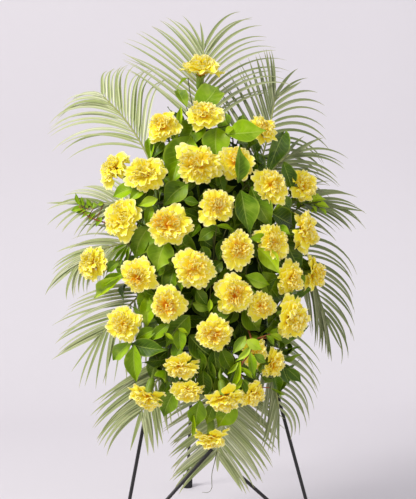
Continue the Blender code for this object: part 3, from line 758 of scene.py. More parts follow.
# stem, calyx and the calyx's points behind a head
def addStalk(shape, start, via, spot, face, radius):
    foot = spot - face * (head["seat"] * radius + head["calyxLength"])
    neck = foot - face * stem["neck"]
    path = bend([start, via, neck, foot + face * stem["inCalyx"]], 5)
    radii = [stem["radius"] * (1.0 + 0.12 * sin(9.0 * k)) for k in range(len(path))]    # uneven
    shape.tube(path, radii, stem["sides"])
    side = face.orthogonal().normalized()
    across = face.cross(side)
    sides = head["calyxSides"]
    previous = None
    for share, size in head["calyxRings"]:
        centre = foot + face * head["calyxLength"] * share
        ring = [shape.spot(centre + (side * cos(2 * pi * k / sides) + across * sin(2 * pi * k / sides))
                           * head["calyxRadius"] * size, along=share) for k in range(sides)]
        if previous:
            for k in range(sides):
                ahead = (k + 1) % sides
                shape.face([previous[k], previous[ahead], ring[ahead], ring[k]])
        else:
            shape.face(ring[::-1])
        previous = ring
    # the points, and a closed floor under the petals
    rim = spot - face * head["seat"] * radius
    tips = []
    rise, spread = head["points"]
    for k in range(0, sides, 2):
        angle = 2 * pi * (k + 1) / sides
        aside = side * cos(angle) + across * sin(angle)
        tips.append(shape.spot(rim + face * rise + aside * head["calyxRadius"] * spread, along=1.0))
    middle = shape.spot(rim + face * head["floor"], along=1.0)
    for number, tip in enumerate(tips):
        k = 2 * number
        shape.face([previous[k], previous[k + 1], tip])
        shape.face([previous[k + 1], previous[(k + 2) % sides], tip])
        shape.face([previous[(k + 2) % sides], middle, tip])
        shape.face([middle, previous[k], tip])


def makeBlooms():
    tree = headTree()

    def dress(name, start, key):
        spot, face, radius = headSpot(key)
        turn = face.to_track_quat("Z", "Y").to_euler()
        number = int(key)
        rimTilt = closer.get(key, head["rimTilt"] + Random(number).uniform(*head["rimVaries"]))
        return runTree(name, tree, start, {
            "Petals": head["petals"], "Radius": radius * head["spread"], "Seed": number,
            "Oval": oval.get(key, 1.0), "Warmth": warmth.get(key, head["warmth"]),
            "Place": spot, "Turn": turn, "Middle tilt": head["middleTilt"], "Rim tilt": rimTilt,
            "Petal kinds": petalStore, "Material": looks["petal"]})

    for key in sorted(carnations):
        if key in twins.values():
            continue
        spot, face, radius = headSpot(key)
        shape = Shape()
        if key in twins:
            mate = twins[key]
            otherSpot, otherFace, otherRadius = headSpot(mate)
            end, leave, direction = stemStart((spot + otherSpot) / 2)
            fork = leave + direction * stem["fork"]
            addStalk(shape, end, fork, spot, face, radius)
            via = fork + (otherSpot - fork).normalized() * stem["forkRun"]
            addStalk(shape, end, via, otherSpot, otherFace, otherRadius)
            name = "blooms_%s_%s" % (key, mate)
            mesh = dress(name, shape.mesh(name, looks["stalk"]), key)
            addPiece(name, dress(name, mesh, mate), "yellow_petal", "carnation_twin_%s_%s" % (key, mate))
        else:
            end, leave, direction = stemStart(spot - face * stem["aim"])
            addStalk(shape, end, leave + direction * stem["clear"], spot, face, radius)
            name = "bloom_" + key
            mesh = dress(name, shape.mesh(name, looks["stalk"]), key)
            addPiece(name, mesh, "yellow_petal", *(set(nodes) & {"carnation_" + key}))
    print("blooms made")


makeBlooms()

# --- broad glossy leaves ---
# width to length, fold along the midrib, arch, wave of the edge
leafKinds = ((0.50, 0.52, 0.18, 0.030), (0.56, 0.42, 0.14, 0.040), (0.46, 0.60, 0.24, 0.025),
             (0.60, 0.36, 0.28, 0.045), (0.52, 0.50, -0.10, 0.035))
leaf = {"rows": 9, "columns": 6, "thickness": 0.006, "rim": 0.010, "stalk": 0.028}


def leafShape(kind, seed):
    ratio, fold, arch, wave = kind
    chance = Random(seed)
    phase = chance.uniform(0, 2 * pi)
    sway = chance.uniform(-0.06, 0.06)

    def spotAt(along, across):
        swell = sin(pi * min(1.0, max(0.0, (along - 0.05) / 0.95)) ** 0.78) ** 0.85
        swell *= 1.0 - 0.56 * smooth(0.58, 1.0, along)
        width = max(leaf["rim"] * (1.0 - along) + 0.004, ratio / 2 * swell)
        if along < 0.05:
            width = leaf["stalk"] / 2
        lift = fold * abs(across) ** 1.3 * width - arch * along ** 2 + arch * 0.4 * along
        lift += wave * sin(3.2 * pi * along + phase + (1.2 if across > 0 else 0.0)) * across ** 2
        return Vector((across * width + sway * sin(pi * along), along, lift))

    shape = Shape()
    shape.blade(leaf["rows"], leaf["columns"], spotAt, leaf["thickness"])
    return shape


leafShapes = [leafShape(kind, 5 + number) for number, kind in enumerate(leafKinds)]


# a leaf from its base to its tip, its upper face turned towards a direction
def addLeaf(shape, base, tip, face, width, kind, tone):
    run = tip - base
    length = run.length
    y = run.normalized()
    z = (face - y * face.dot(y)).normalized()
    x = y.cross(z)
    stretch = width / length / leafKinds[kind][0]
    columns = (x * length * stretch, y * length, z * length)
    rows = [[column[row] for column in columns] + [base[row]] for row in range(3)]
    shape.join(leafShapes[kind], Matrix(rows + [[0, 0, 0, 1]]), tone=tone)


# each branch's stem from the foam and then its leaves, from base to tip, all as (across, up, out); a leaf
# also has its width, kind, tone and turn about its own length in degrees. Low tones are painted shade on
# leaves that lie in shadow, high tones painted highlight on lit ones.
branches = {
    "top": (((-0.030, 0.690, 0.095), (-0.034, 0.760, 0.110), (-0.030, 0.805, 0.104)), (
        ((-0.031, 0.778, 0.155), (0.022, 0.860, 0.106), 0.048, 3, 0.50, 0),
        ((-0.046, 0.790, 0.147), (-0.057, 0.848, 0.107), 0.022, 2, 0.28, 0),
        ((-0.037, 0.858, 0.112), (-0.060, 0.838, 0.129), 0.006, 2, 0.95, 0),
        ((-0.023, 0.767, 0.160), (-0.056, 0.704, 0.176), 0.048, 3, 0.42, 0),
        ((-0.043, 0.731, 0.171), (-0.083, 0.638, 0.183), 0.059, 1, 0.66, 0),
        ((-0.058, 0.787, 0.161), (-0.073, 0.717, 0.186), 0.011, 2, 0.95, 0),
        ((0.001, 0.743, 0.183), (-0.001, 0.681, 0.191), 0.050, 1, 0.62, 0),
        ((-0.002, 0.661, 0.193), (0.008, 0.620, 0.194), 0.019, 0, 0.22, 0),
        ((-0.090, 0.727, 0.160), (-0.112, 0.694, 0.161), 0.026, 3, 0.15, 0),
        ((0.024, 0.749, 0.170), (0.024, 0.781, 0.158), 0.011, 2, 0.60, 0))),
    "upper_right": (((0.040, 0.690, 0.100), (0.038, 0.730, 0.120), (0.036, 0.755, 0.125)), (
        ((0.015, 0.724, 0.204), (0.082, 0.730, 0.214), 0.044, 0, 0.64, 0),
        ((0.011, 0.724, 0.210), (0.029, 0.737, 0.208), 0.011, 2, 0.95, 0),
        ((0.145, 0.773, 0.050), (0.101, 0.677, 0.155), 0.039, 3, 0.06, 0),
        ((0.024, 0.627, 0.240), (0.038, 0.697, 0.230), 0.031, 2, 0.40, 28),
        ((0.125, 0.695, 0.129), (0.148, 0.644, 0.119), 0.033, 3, 0.12, 0),
        ((0.072, 0.708, 0.159), (0.077, 0.636, 0.172), 0.026, 1, 0.05, 0))),
    "right": (((0.060, 0.580, 0.105), (0.060, 0.620, 0.150), (0.050, 0.640, 0.180)), (
        ((0.034, 0.623, 0.209), (0.048, 0.545, 0.214), 0.048, 0, 0.20, -16),
        ((0.053, 0.631, 0.199), (0.090, 0.560, 0.197), 0.041, 3, 0.26, 10),
        ((0.044, 0.537, 0.217), (0.083, 0.533, 0.209), 0.017, 2, 0.75, 0),
        ((0.059, 0.522, 0.205), (0.094, 0.477, 0.207), 0.031, 2, 1.00, 15),
        ((0.035, 0.475, 0.205), (0.081, 0.462, 0.187), 0.026, 1, 0.62, 0),
        ((0.067, 0.485, 0.185), (0.109, 0.437, 0.158), 0.043, 3, 0.30, 0),
        ((0.090, 0.594, 0.168), (0.146, 0.581, 0.130), 0.044, 3, 0.00, 0),
        ((0.147, 0.628, 0.117), (0.204, 0.629, 0.037), 0.026, 0, 0.04, 0),
        ((0.116, 0.547, 0.155), (0.152, 0.496, 0.121), 0.041, 1, 0.02, 0),
        ((0.147, 0.524, 0.126), (0.173, 0.469, 0.076), 0.030, 0, 0.00, 0),
        ((0.091, 0.591, 0.189), (0.120, 0.613, 0.170), 0.008, 2, 0.98, 0),
        ((0.109, 0.660, 0.135), (0.132, 0.631, 0.122), 0.026, 1, 0.04, 0),
        ((0.072, 0.514, 0.165), (0.085, 0.473, 0.156), 0.026, 3, 0.04, 0),
        ((0.127, 0.577, 0.132), (0.141, 0.533, 0.120), 0.028, 1, 0.02, 0),
        ((0.099, 0.526, 0.153), (0.118, 0.497, 0.138), 0.026, 3, 0.04, 0),
        ((0.121, 0.605, 0.136), (0.143, 0.569, 0.119), 0.030, 1, 0.04, 0),
        ((0.115, 0.630, 0.137), (0.143, 0.610, 0.115), 0.026, 3, 0.06, 0))),
    "middle": (((-0.010, 0.480, 0.100), (-0.012, 0.490, 0.140), (-0.014, 0.500, 0.175)), (
        ((-0.019, 0.502, 0.192), (-0.030, 0.452, 0.188), 0.022, 2, 0.10, 0),
        ((-0.015, 0.555, 0.203), (-0.042, 0.537, 0.200), 0.022, 0, 0.30, 0),
        ((-0.035, 0.529, 0.195), (-0.022, 0.502, 0.194), 0.022, 3, 0.15, 0),
        ((0.009, 0.427, 0.189), (-0.022, 0.399, 0.184), 0.028, 3, 0.28, 0),
        ((-0.027, 0.436, 0.208), (-0.029, 0.413, 0.204), 0.009, 2, 0.90, 0),
        ((-0.055, 0.530, 0.193), (-0.076, 0.504, 0.188), 0.022, 1, 0.20, 0),
        ((-0.047, 0.455, 0.189), (-0.028, 0.428, 0.187), 0.022, 0, 0.12, 0),
        ((-0.006, 0.628, 0.190), (-0.028, 0.603, 0.192), 0.026, 3, 0.08, 0),
        ((0.033, 0.620, 0.182), (0.022, 0.565, 0.187), 0.026, 1, 0.05, 0),
        ((0.008, 0.544, 0.188), (-0.006, 0.503, 0.188), 0.024, 3, 0.12, 0),
        ((-0.012, 0.560, 0.213), (0.020, 0.554, 0.212), 0.009, 2, 0.60, 0),
        ((-0.026, 0.566, 0.187), (0.001, 0.552, 0.186), 0.024, 1, 0.06, 0),
        ((-0.036, 0.549, 0.184), (-0.010, 0.528, 0.185), 0.026, 3, 0.04, 0),
        ((-0.000, 0.504, 0.183), (-0.025, 0.480, 0.183), 0.024, 1, 0.08, 0),
        ((0.045, 0.581, 0.178), (0.013, 0.573, 0.184), 0.022, 0, 0.14, 0))),
    "left": (((-0.078, 0.620, 0.105), (-0.105, 0.622, 0.125), (-0.125, 0.610, 0.130)), (
        ((-0.142, 0.639, 0.166), (-0.183, 0.630, 0.143), 0.028, 1, 0.70, 0),
        ((-0.123, 0.640, 0.175), (-0.156, 0.616, 0.168), 0.022, 0, 0.76, 0),
        ((-0.107, 0.613, 0.193), (-0.140, 0.603, 0.183), 0.019, 4, 0.86, 0),
        ((-0.054, 0.640, 0.188), (-0.098, 0.604, 0.183), 0.041, 3, 0.32, 0),
        ((-0.063, 0.610, 0.195), (-0.036, 0.604, 0.198), 0.017, 0, 0.12, 0),
        ((-0.118, 0.607, 0.181), (-0.129, 0.569, 0.179), 0.017, 2, 0.62, 0),
        ((-0.121, 0.569, 0.177), (-0.148, 0.515, 0.163), 0.052, 3, 0.45, 0),
        ((-0.094, 0.541, 0.191), (-0.112, 0.490, 0.181), 0.048, 1, 0.50, 0),
        ((-0.173, 0.514, 0.152), (-0.195, 0.499, 0.128), 0.019, 0, 0.22, 0),
        ((-0.167, 0.483, 0.176), (-0.226, 0.462, 0.085), 0.024, 2, 0.96, 0),
        ((-0.167, 0.489, 0.173), (-0.211, 0.475, 0.127), 0.015, 0, 0.58, 0),
        ((-0.124, 0.462, 0.176), (-0.138, 0.417, 0.162), 0.033, 4, 0.50, 0),
        ((-0.075, 0.491, 0.194), (-0.073, 0.452, 0.191), 0.019, 2, 0.60, 0),
        ((-0.160, 0.539, 0.174), (-0.190, 0.531, 0.149), 0.005, 2, 0.55, 0),
        ((-0.160, 0.537, 0.174), (-0.187, 0.511, 0.151), 0.006, 2, 0.55, 0),
        ((-0.159, 0.535, 0.175), (-0.176, 0.504, 0.161), 0.006, 2, 0.55, 0),
        ((-0.157, 0.535, 0.176), (-0.163, 0.505, 0.172), 0.006, 2, 0.55, 0),
        ((-0.131, 0.621, 0.154), (-0.113, 0.653, 0.156), 0.026, 1, 0.06, 0),
        ((-0.124, 0.628, 0.155), (-0.138, 0.597, 0.149), 0.028, 3, 0.08, 0),
        ((-0.141, 0.523, 0.152), (-0.164, 0.499, 0.134), 0.026, 1, 0.10, 0),
        ((-0.122, 0.466, 0.157), (-0.113, 0.421, 0.154), 0.030, 3, 0.06, 0),
        ((-0.116, 0.735, 0.147), (-0.116, 0.690, 0.163), 0.017, 2, 0.66, 0),
        ((-0.090, 0.714, 0.154), (-0.115, 0.671, 0.153), 0.028, 1, 0.08, 0),
        ((-0.152, 0.684, 0.133), (-0.143, 0.648, 0.145), 0.022, 3, 0.10, 0))),
    "lower_left": (((-0.070, 0.400, 0.095), (-0.105, 0.385, 0.110), (-0.140, 0.372, 0.120)), (
        ((-0.155, 0.375, 0.150), (-0.189, 0.350, 0.086), 0.026, 0, 0.66, 0),
        ((-0.156, 0.372, 0.146), (-0.098, 0.357, 0.172), 0.031, 1, 0.14, 0),
        ((-0.152, 0.369, 0.158), (-0.149, 0.306, 0.132), 0.031, 0, 0.60, 0),
        ((-0.114, 0.393, 0.170), (-0.151, 0.379, 0.146), 0.022, 0, 0.46, 0),
        ((-0.129, 0.451, 0.172), (-0.132, 0.395, 0.162), 0.026, 2, 0.72, 0),
        ((-0.092, 0.401, 0.180), (-0.127, 0.373, 0.160), 0.020, 1, 0.56, 0),
        ((-0.059, 0.413, 0.184), (-0.100, 0.363, 0.162), 0.044, 3, 0.44, 0),
        ((-0.077, 0.393, 0.186), (-0.075, 0.349, 0.177), 0.022, 0, 0.62, 0),
        ((-0.102, 0.384, 0.185), (-0.087, 0.370, 0.186), 0.007, 2, 0.98, 0),
        ((-0.081, 0.390, 0.193), (-0.064, 0.381, 0.194), 0.007, 2, 0.98, 0),
        ((-0.084, 0.293, 0.158), (-0.104, 0.248, 0.119), 0.033, 1, 0.42, 0))),
    "bottom": (((-0.030, 0.390, 0.080), (-0.040, 0.330, 0.085), (-0.036, 0.275, 0.090)), (
        ((-0.060, 0.381, 0.173), (-0.015, 0.341, 0.165), 0.041, 3, 0.00, 0),
        ((-0.032, 0.345, 0.164), (-0.020, 0.286, 0.142), 0.026, 1, 0.00, 0),
        ((-0.007, 0.356, 0.176), (0.015, 0.318, 0.163), 0.026, 3, 0.30, 0),
        ((-0.045, 0.272, 0.164), (-0.050, 0.228, 0.136), 0.033, 1, 0.48, 0),
        ((0.017, 0.266, 0.158), (-0.013, 0.224, 0.135), 0.037, 3, 0.56, 0),
        ((-0.055, 0.250, 0.153), (-0.055, 0.207, 0.114), 0.007, 2, 1.00, 0),
        ((-0.017, 0.273, 0.156), (-0.031, 0.232, 0.132), 0.026, 0, 0.30, 0),
        ((-0.047, 0.359, 0.171), (-0.041, 0.310, 0.154), 0.030, 1, 0.04, 0),
        ((-0.018, 0.359, 0.169), (-0.006, 0.303, 0.150), 0.031, 3, 0.02, 0),
        ((0.005, 0.355, 0.170), (0.009, 0.306, 0.151), 0.028, 1, 0.08, 0),
        ((-0.037, 0.323, 0.161), (-0.030, 0.275, 0.141), 0.030, 3, 0.06, 0),
        ((-0.011, 0.319, 0.162), (0.002, 0.270, 0.139), 0.030, 1, 0.08, 0),
        ((-0.059, 0.321, 0.157), (-0.064, 0.289, 0.143), 0.026, 1, 0.10, 0),
        ((0.019, 0.299, 0.154), (0.027, 0.270, 0.138), 0.026, 3, 0.10, 0))),
    "lower_right": (((0.045, 0.420, 0.100), (0.045, 0.380, 0.165), (0.038, 0.348, 0.210),
         (0.020, 0.320, 0.205), (0.026, 0.290, 0.190)), (
        ((0.029, 0.371, 0.219), (0.005, 0.340, 0.218), 0.017, 0, 0.36, 0),
        ((0.037, 0.354, 0.218), (0.010, 0.328, 0.219), 0.011, 2, 0.76, 0),
        ((0.028, 0.363, 0.223), (0.055, 0.347, 0.216), 0.019, 4, 0.90, 0),
        ((0.034, 0.345, 0.220), (0.043, 0.301, 0.205), 0.015, 0, 0.62, 0),
        ((0.042, 0.341, 0.213), (0.065, 0.327, 0.203), 0.015, 0, 0.38, 0),
        ((0.019, 0.331, 0.209), (0.004, 0.281, 0.193), 0.011, 2, 0.82, 0),
        ((0.016, 0.329, 0.207), (-0.003, 0.309, 0.204), 0.008, 2, 1.00, 0),
        ((0.019, 0.321, 0.207), (0.043, 0.301, 0.197), 0.009, 2, 0.84, 0),
        ((0.023, 0.305, 0.198), (0.006, 0.280, 0.192), 0.009, 2, 0.84, 0),
        ((0.021, 0.302, 0.197), (0.032, 0.275, 0.183), 0.011, 2, 0.25, 0),
        ((0.074, 0.372, 0.180), (0.091, 0.390, 0.181), 0.013, 0, 0.70, 0),
        ((0.075, 0.378, 0.188), (0.101, 0.367, 0.174), 0.011, 2, 1.00, 0),
        ((0.068, 0.376, 0.190), (0.084, 0.358, 0.181), 0.009, 2, 0.72, 0),
        ((0.083, 0.320, 0.147), (0.104, 0.282, 0.103), 0.020, 0, 0.18, 0),
        ((0.077, 0.293, 0.144), (0.119, 0.279, 0.071), 0.006, 2, 0.92, 0),
        ((0.032, 0.425, 0.183), (0.067, 0.385, 0.165), 0.037, 3, 0.34, 0))),
    "fine_left": (((-0.078, 0.592, 0.070), (-0.150, 0.594, 0.066), (-0.214, 0.612, 0.062),
         (-0.236, 0.634, 0.062)), (
        ((-0.233, 0.635, 0.062), (-0.243, 0.660, 0.062), 0.008, 2, 0.62, 0),
        ((-0.227, 0.634, 0.062), (-0.232, 0.653, 0.062), 0.008, 2, 0.58, 0),
        ((-0.220, 0.630, 0.062), (-0.223, 0.639, 0.062), 0.006, 2, 0.50, 0),
        ((-0.229, 0.630, 0.062), (-0.251, 0.626, 0.062), 0.013, 0, 0.66, 0),
        ((-0.211, 0.629, 0.062), (-0.209, 0.642, 0.062), 0.013, 1, 0.60, 0),
        ((-0.215, 0.623, 0.062), (-0.235, 0.613, 0.062), 0.008, 2, 0.60, 0),
        ((-0.192, 0.639, 0.062), (-0.204, 0.637, 0.062), 0.008, 2, 0.60, 0),
        ((-0.196, 0.614, 0.062), (-0.208, 0.597, 0.062), 0.011, 2, 0.58, 0),
        ((-0.213, 0.634, 0.062), (-0.223, 0.649, 0.062), 0.008, 2, 0.62, 0),
        ((-0.206, 0.621, 0.062), (-0.221, 0.607, 0.062), 0.008, 0, 0.56, 0),
        ((-0.224, 0.627, 0.062), (-0.242, 0.622, 0.062), 0.009, 0, 0.64, 0))),
    "fine_right": (((0.078, 0.600, 0.075), (0.139, 0.611, 0.086), (0.168, 0.627, 0.084),
         (0.203, 0.634, 0.082)), (
        ((0.180, 0.635, 0.082), (0.212, 0.639, 0.082), 0.012, 2, 0.90, 0),
        ((0.173, 0.638, 0.082), (0.188, 0.646, 0.082), 0.013, 2, 0.95, 0),
        ((0.184, 0.641, 0.082), (0.199, 0.648, 0.082), 0.008, 2, 0.90, 0),
        ((0.189, 0.627, 0.082), (0.217, 0.624, 0.082), 0.013, 2, 0.85, 0),
        ((0.196, 0.621, 0.082), (0.211, 0.608, 0.082), 0.009, 2, 0.60, 0),
        ((0.156, 0.644, 0.082), (0.144, 0.647, 0.082), 0.007, 2, 1.00, 0),
        ((0.167, 0.636, 0.082), (0.169, 0.652, 0.082), 0.007, 2, 0.90, 0),
        ((0.184, 0.626, 0.082), (0.182, 0.612, 0.082), 0.008, 2, 0.95, 0),
        ((0.170, 0.633, 0.082), (0.162, 0.623, 0.082), 0.009, 2, 0.85, 0),
        ((0.168, 0.635, 0.082), (0.150, 0.638, 0.082), 0.006, 2, 0.90, 0),
        ((0.159, 0.657, 0.082), (0.171, 0.668, 0.082), 0.016, 1, 0.85, 0),
        ((0.176, 0.631, 0.082), (0.200, 0.629, 0.082), 0.010, 2, 0.80, 0),
        ((0.162, 0.639, 0.082), (0.178, 0.627, 0.082), 0.010, 2, 0.60, 0),
        ((0.154, 0.641, 0.082), (0.139, 0.633, 0.082), 0.010, 2, 0.50, 0),
        ((0.179, 0.626, 0.082), (0.193, 0.612, 0.082), 0.010, 2, 0.75, 0),
        ((0.158, 0.635, 0.082), (0.155, 0.618, 0.082), 0.010, 2, 0.45, 0),
        ((0.171, 0.641, 0.082), (0.177, 0.655, 0.082), 0.009, 2, 0.85, 0))),
}
redBranches = ("lower_right", "fine_left")
spray = {"twig": 0.0014, "stalk": 0.0009, "reach": 0.004, "sag": 0.006}


def makeBranches():
    for name, (stem, leaves) in branches.items():
        shape = Shape()
        path = bend([place(*point) for point in stem], 6)
        shape.tube(path, taper(path, spray["twig"], 1.3, 0.6), 6, 1)
        for base, tip, width, kind, tone, roll in leaves:
            middle = [(low + high) / 2 for low, high in zip(base, tip)]
            base, tip = place(*base), place(*tip)
            near = min(path, key=lambda spot: (spot - base).length)
            if (near - base).length > spray["reach"]:
                low = (near + base) / 2 - heading(0, 0, 1) * spray["sag"]
                shape.tube(bend([near, low, base + (tip - base) * 0.03], 4), spray["stalk"], 5, 1)
            face = heading(0.0, 0.15, 1.0) + facing(*middle[:2]) * 0.6
            face = Matrix.Rotation(radians(roll), 3, tip - base) @ face
            addLeaf(shape, base, tip, face, width, kind, tone)
        bark = looks["redTwig" if name in redBranches else "twig"]
        mesh = shape.mesh("leafBranch_" + name, looks["leaf"], bark)
        addPiece("leafBranch_" + name, mesh, "glossy_leaf", *(set(nodes) & {"leaf_sprig_" + name}))
    print("leaf branches made")


makeBranches()

# --- short leafy twigs all over the foam, behind the flowers ---
filler = {"kinds": 4, "firstKind": 30, "length": 0.088, "leaves": 6, "leafLength": 0.066, "seed": 4,
          "spacing": 0.027, "density": 2400.0, "top": 0.5, "back": 0.045, "middle": (-0.010, 0.020),
          "size": 0.78, "left": 0.42, "right": 0.14, "steep": 0.10, "varies": (0.88, 1.08),
          "spin": (0.0, 6.283)}
# a twig's stem as shares of its length, its sway and radius in metres, and how its leaves vary; their tones
# are kept low, painting the shade deep among the flowers
twig = {"top": 0.92, "knee": 0.2, "foot": 0.016, "sway": 0.012, "radius": 0.0012, "firstLeaf": 0.22,
        "tilts": (58.0, 84.0), "endTilt": 38.0, "spins": (-0.4, 0.4), "sizes": (0.75, 1.1),
        "widths": (0.46, 0.60), "tones": (0.0, 0.36)}


def twigShape(seed):
    chance = Random(seed)
    shape = Shape()
    length, last = filler["length"], filler["leaves"] - 1
    sway = Vector((*(chance.uniform(-twig["sway"], twig["sway"]) for _ in range(2)), 0.0))
    top = sway + Vector((0, 0, twig["top"] * length))
    path = bend([(0, 0, -twig["foot"]), (0, 0, twig["knee"] * length), top], 4)
    shape.tube(path, twig["radius"], 5, 1)
    for number in range(filler["leaves"]):
        share = twig["firstLeaf"] + (1.0 - twig["firstLeaf"]) * number / last
        spin = number * goldenAngle + chance.uniform(*twig["spins"])
        tilt = radians(chance.uniform(*twig["tilts"]) if number < last else twig["endTilt"])
        away = Vector((cos(spin), sin(spin), 0.0))
        base = sway * share + Vector((0, 0, twig["top"] * length * share))
        run = away * sin(tilt) + Vector((0, 0, cos(tilt)))
        face = -away * cos(tilt) + Vector((0, 0, sin(tilt)))
        size = filler["leafLength"] * chance.uniform(*twig["sizes"])
        addLeaf(shape, base, base + run * size, face, size * chance.uniform(*twig["widths"]),
                chance.randrange(len(leafKinds)), chance.uniform(*twig["tones"]))
    return shape


def fillerTree():
    graph, given = newTree("leafyTwigs", ("Spacing", "Float"), ("Seed", "Int"), ("Middle", "Vector"),
                           ("Twig kinds", "Collection"))
    seed = given.out("Seed")
    points = graph.add("GeometryNodeDistributePointsOnFaces", {"distribute_method": "POISSON"},
                       {"Mesh": given.out("Geometry"), "Distance Min": given.out("Spacing"),
                        "Density Max": filler["density"], "Seed": seed}, "Points")
    spot = graph.add("GeometryNodeInputPosition")
    away = graph.add("ShaderNodeVectorMath", {"operation": "SUBTRACT"}, {0: spot, 1: given.out("Middle")})
    turn = graph.add("FunctionNodeAlignRotationToVector", {"axis": "Z"}, {"Vector": away})
    picked = graph.kinds(given.out("Twig kinds"))
    # longer ones sideways, longest on the left, shorter upwards and downwards
    run = graph.add("ShaderNodeVectorMath", {"operation": "NORMALIZE"}, {0: away}, "Vector")
    part = graph.split(run)
    left, right, steep = (part * -1.0).clamp(), part.clamp(), part.out("Z").abs()
    grown = left * filler["left"] + right * filler["right"] - steep * filler["steep"] + filler["size"]
    size = graph.random(*filler["varies"], seed) * grown
    placed = graph.add("GeometryNodeInstanceOnPoints", None,
                       {"Points": points, "Instance": picked, "Pick Instance": True, "Rotation": turn,
                        "Scale": size})
    spin = graph.vector(0.0, 0.0, graph.random(*filler["spin"], seed * 3 + 1))
    placed = graph.add("GeometryNodeRotateInstances", None, {"Instances": placed, "Rotation": spin})
    loose = graph.add("GeometryNodeRealizeInstances", None, {"Geometry": placed})
    endTree(graph, loose)
    return graph.tree


# the foam's front and sides, where the twigs start
def foamSkin():
    shape = Shape()
    half, high, middle = foam["halfWidth"], foam["halfHeight"], foam["middleUp"]
    corners = ((-half, -high), (half, -high), (half * filler["top"], high), (-half * filler["top"], high))
    outer, inner = ([shape.spot(place(x, middle + z, out)) for x, z in corners]
                    for out in (foam["front"], filler["back"]))
    shape.face(outer)
    for k in range(4):
        shape.face([inner[k], inner[(k + 1) % 4], outer[(k + 1) % 4], outer[k]])
    return shape.mesh("foamSkin")


def makeFiller():
    shapes = [twigShape(filler["firstKind"] + number) for number in range(filler["kinds"])]
    across, out = filler["middle"]
    mesh = runTree("fillerLeaves", fillerTree(), foamSkin(), {
        "Seed": filler["seed"], "Spacing": filler["spacing"], "Middle": place(across, foam["middleUp"], out),
        "Twig kinds": templateStore("twig", shapes, looks["leaf"], looks["twig"])})
    addPiece("fillerLeaves", mesh, "glossy_leaf")
    print("filler leaves made:", len(mesh.polygons), "faces")


makeFiller()

# --- palm fronds ---
# entry on the foam, a knee the rachis bends over and its tip, as (across, up), and where along it the
# leaflets start; then for its left and its right side how many leaflets and, at the rachis's base, middle
# and tip, their angle to it, how far they bend on, both in degrees, and their length, with how far their
# ends hook over; depth layer; how far it is painted in shade (the fronds on the right are painted darker
# and olive, as in shade); and the end leaflet's length and angle
palmFronds = {
    "top": ((-0.004, 0.705), (-0.006, 0.800), (0.003, 0.938), 0.36,
            (18, (46, 43, 20), (8, 12, 24), (0.178, 0.168, 0.085), 10),
            (15, (-42, -37, -20), (-40, -40, -40), (0.172, 0.174, 0.114), -25), 2, 0.45, (0.064, 2)),
    "upper_left": ((-0.098, 0.700), (-0.122, 0.785), (-0.187, 0.850), 0.34,
                   (15, (45, 27, 20), (50, 75, 65), (0.135, 0.142, 0.060), 15),
                   (15, (-31, -33, -43), (-4, -6, 0), (0.158, 0.118, 0.056), -110), 1, 0.0, (0.024, 12)),
    "upper_right": ((0.088, 0.690), (0.118, 0.760), (0.134, 0.848), 0.16,
                    (20, (47, 32, 8), (2, 0, 2), (0.166, 0.152, 0.100), 6),
                    (15, (-58, -54, -18), (-22, -75, -18), (0.106, 0.118, 0.084), -20), 1, 0.9, (0.070, -46)),
    "right_high": ((0.085, 0.652), (0.118, 0.712), (0.152, 0.728), 0.30,
                   (5, (35, 20, 6), (-30, -15, -8), (0.060, 0.070, 0.082), -5),
                   (10, (-52, -38, -4), (-40, -50, -50), (0.120, 0.125, 0.108), -10), 3, 0.9, (0.080, 0)),
    "right": ((0.085, 0.606), (0.140, 0.640), (0.200, 0.638), 0.36,
              (11, (46, 24, -4), (-62, -52, -40), (0.102, 0.114, 0.100), -8),
              (10, (-48, -34, -18), (10, -20, -34), (0.115, 0.100, 0.088), -10), 2, 0.8, (0.095, -10)),
    "right_low": ((0.085, 0.588), (0.180, 0.575), (0.200, 0.436), 0.34,
                  (14, (55, 45, 32), (-90, -45, -40), (0.139, 0.110, 0.098), -15),
                  (15, (-38, -14, -2), (0, -6, 0), (0.150, 0.130, 0.085), -8), 1, 0.85, (0.080, 10)),
    "lower_right": ((0.085, 0.425), (0.100, 0.340), (0.108, 0.267), 0.12,
                    (16, (58, 66, 50), (-35, -62, -70), (0.122, 0.108, 0.062), -8),
                    (15, (-27, -18, -20), (6, 0, 4), (0.138, 0.120, 0.088), 0), 3, 0.5, (0.092, -12)),
    "bottom": ((0.026, 0.375), (0.036, 0.290), (0.002, 0.195), 0.34,
               (27, (60, 60, 52), (-10, -14, -10), (0.114, 0.118, 0.088), -6),
               (26, (-64, -50, -34), (10, 12, 10), (0.132, 0.122, 0.106), 10), 0, 0.20, (0.038, 18)),
    "lower_left": ((-0.060, 0.375), (-0.100, 0.340), (-0.134, 0.268), 0.20,
                   (12, (44, 38, 36), (6, 6, -10), (0.104, 0.098, 0.084), 0),
                   (17, (-22, -34, -34), (14, 22, 34), (0.152, 0.134, 0.098), 10), 3, 0.25, (0.078, 6)),
    "left_low": ((-0.085, 0.512), (-0.136, 0.472), (-0.198, 0.408), 0.30,
                 (13, (46, 44, 10), (-4, -4, 22), (0.135, 0.122, 0.105), 0),
                 (13, (-44, -36, -18), (22, 25, 8), (0.135, 0.132, 0.096), 6), 2, 0.2, (0.090, 0)),
    "left": ((-0.085, 0.560), (-0.160, 0.590), (-0.236, 0.535), 0.34,
             (12, (30, 24, 16), (45, 45, 40), (0.090, 0.082, 0.070), 15),
             (10, (-28, -16, -8), (40, 30, 24), (0.112, 0.102, 0.078), 15), 1, 0.1, (0.070, 4)),
    "left_high": ((-0.085, 0.612), (-0.140, 0.650), (-0.198, 0.640), 0.30,
                  (12, (45, 25, -5), (20, 40, 35), (0.075, 0.102, 0.100), 10),
                  (11, (-48, -40, -18), (15, 38, 24), (0.085, 0.078, 0.092), 15), 3, 0.1, (0.100, -10)),
}
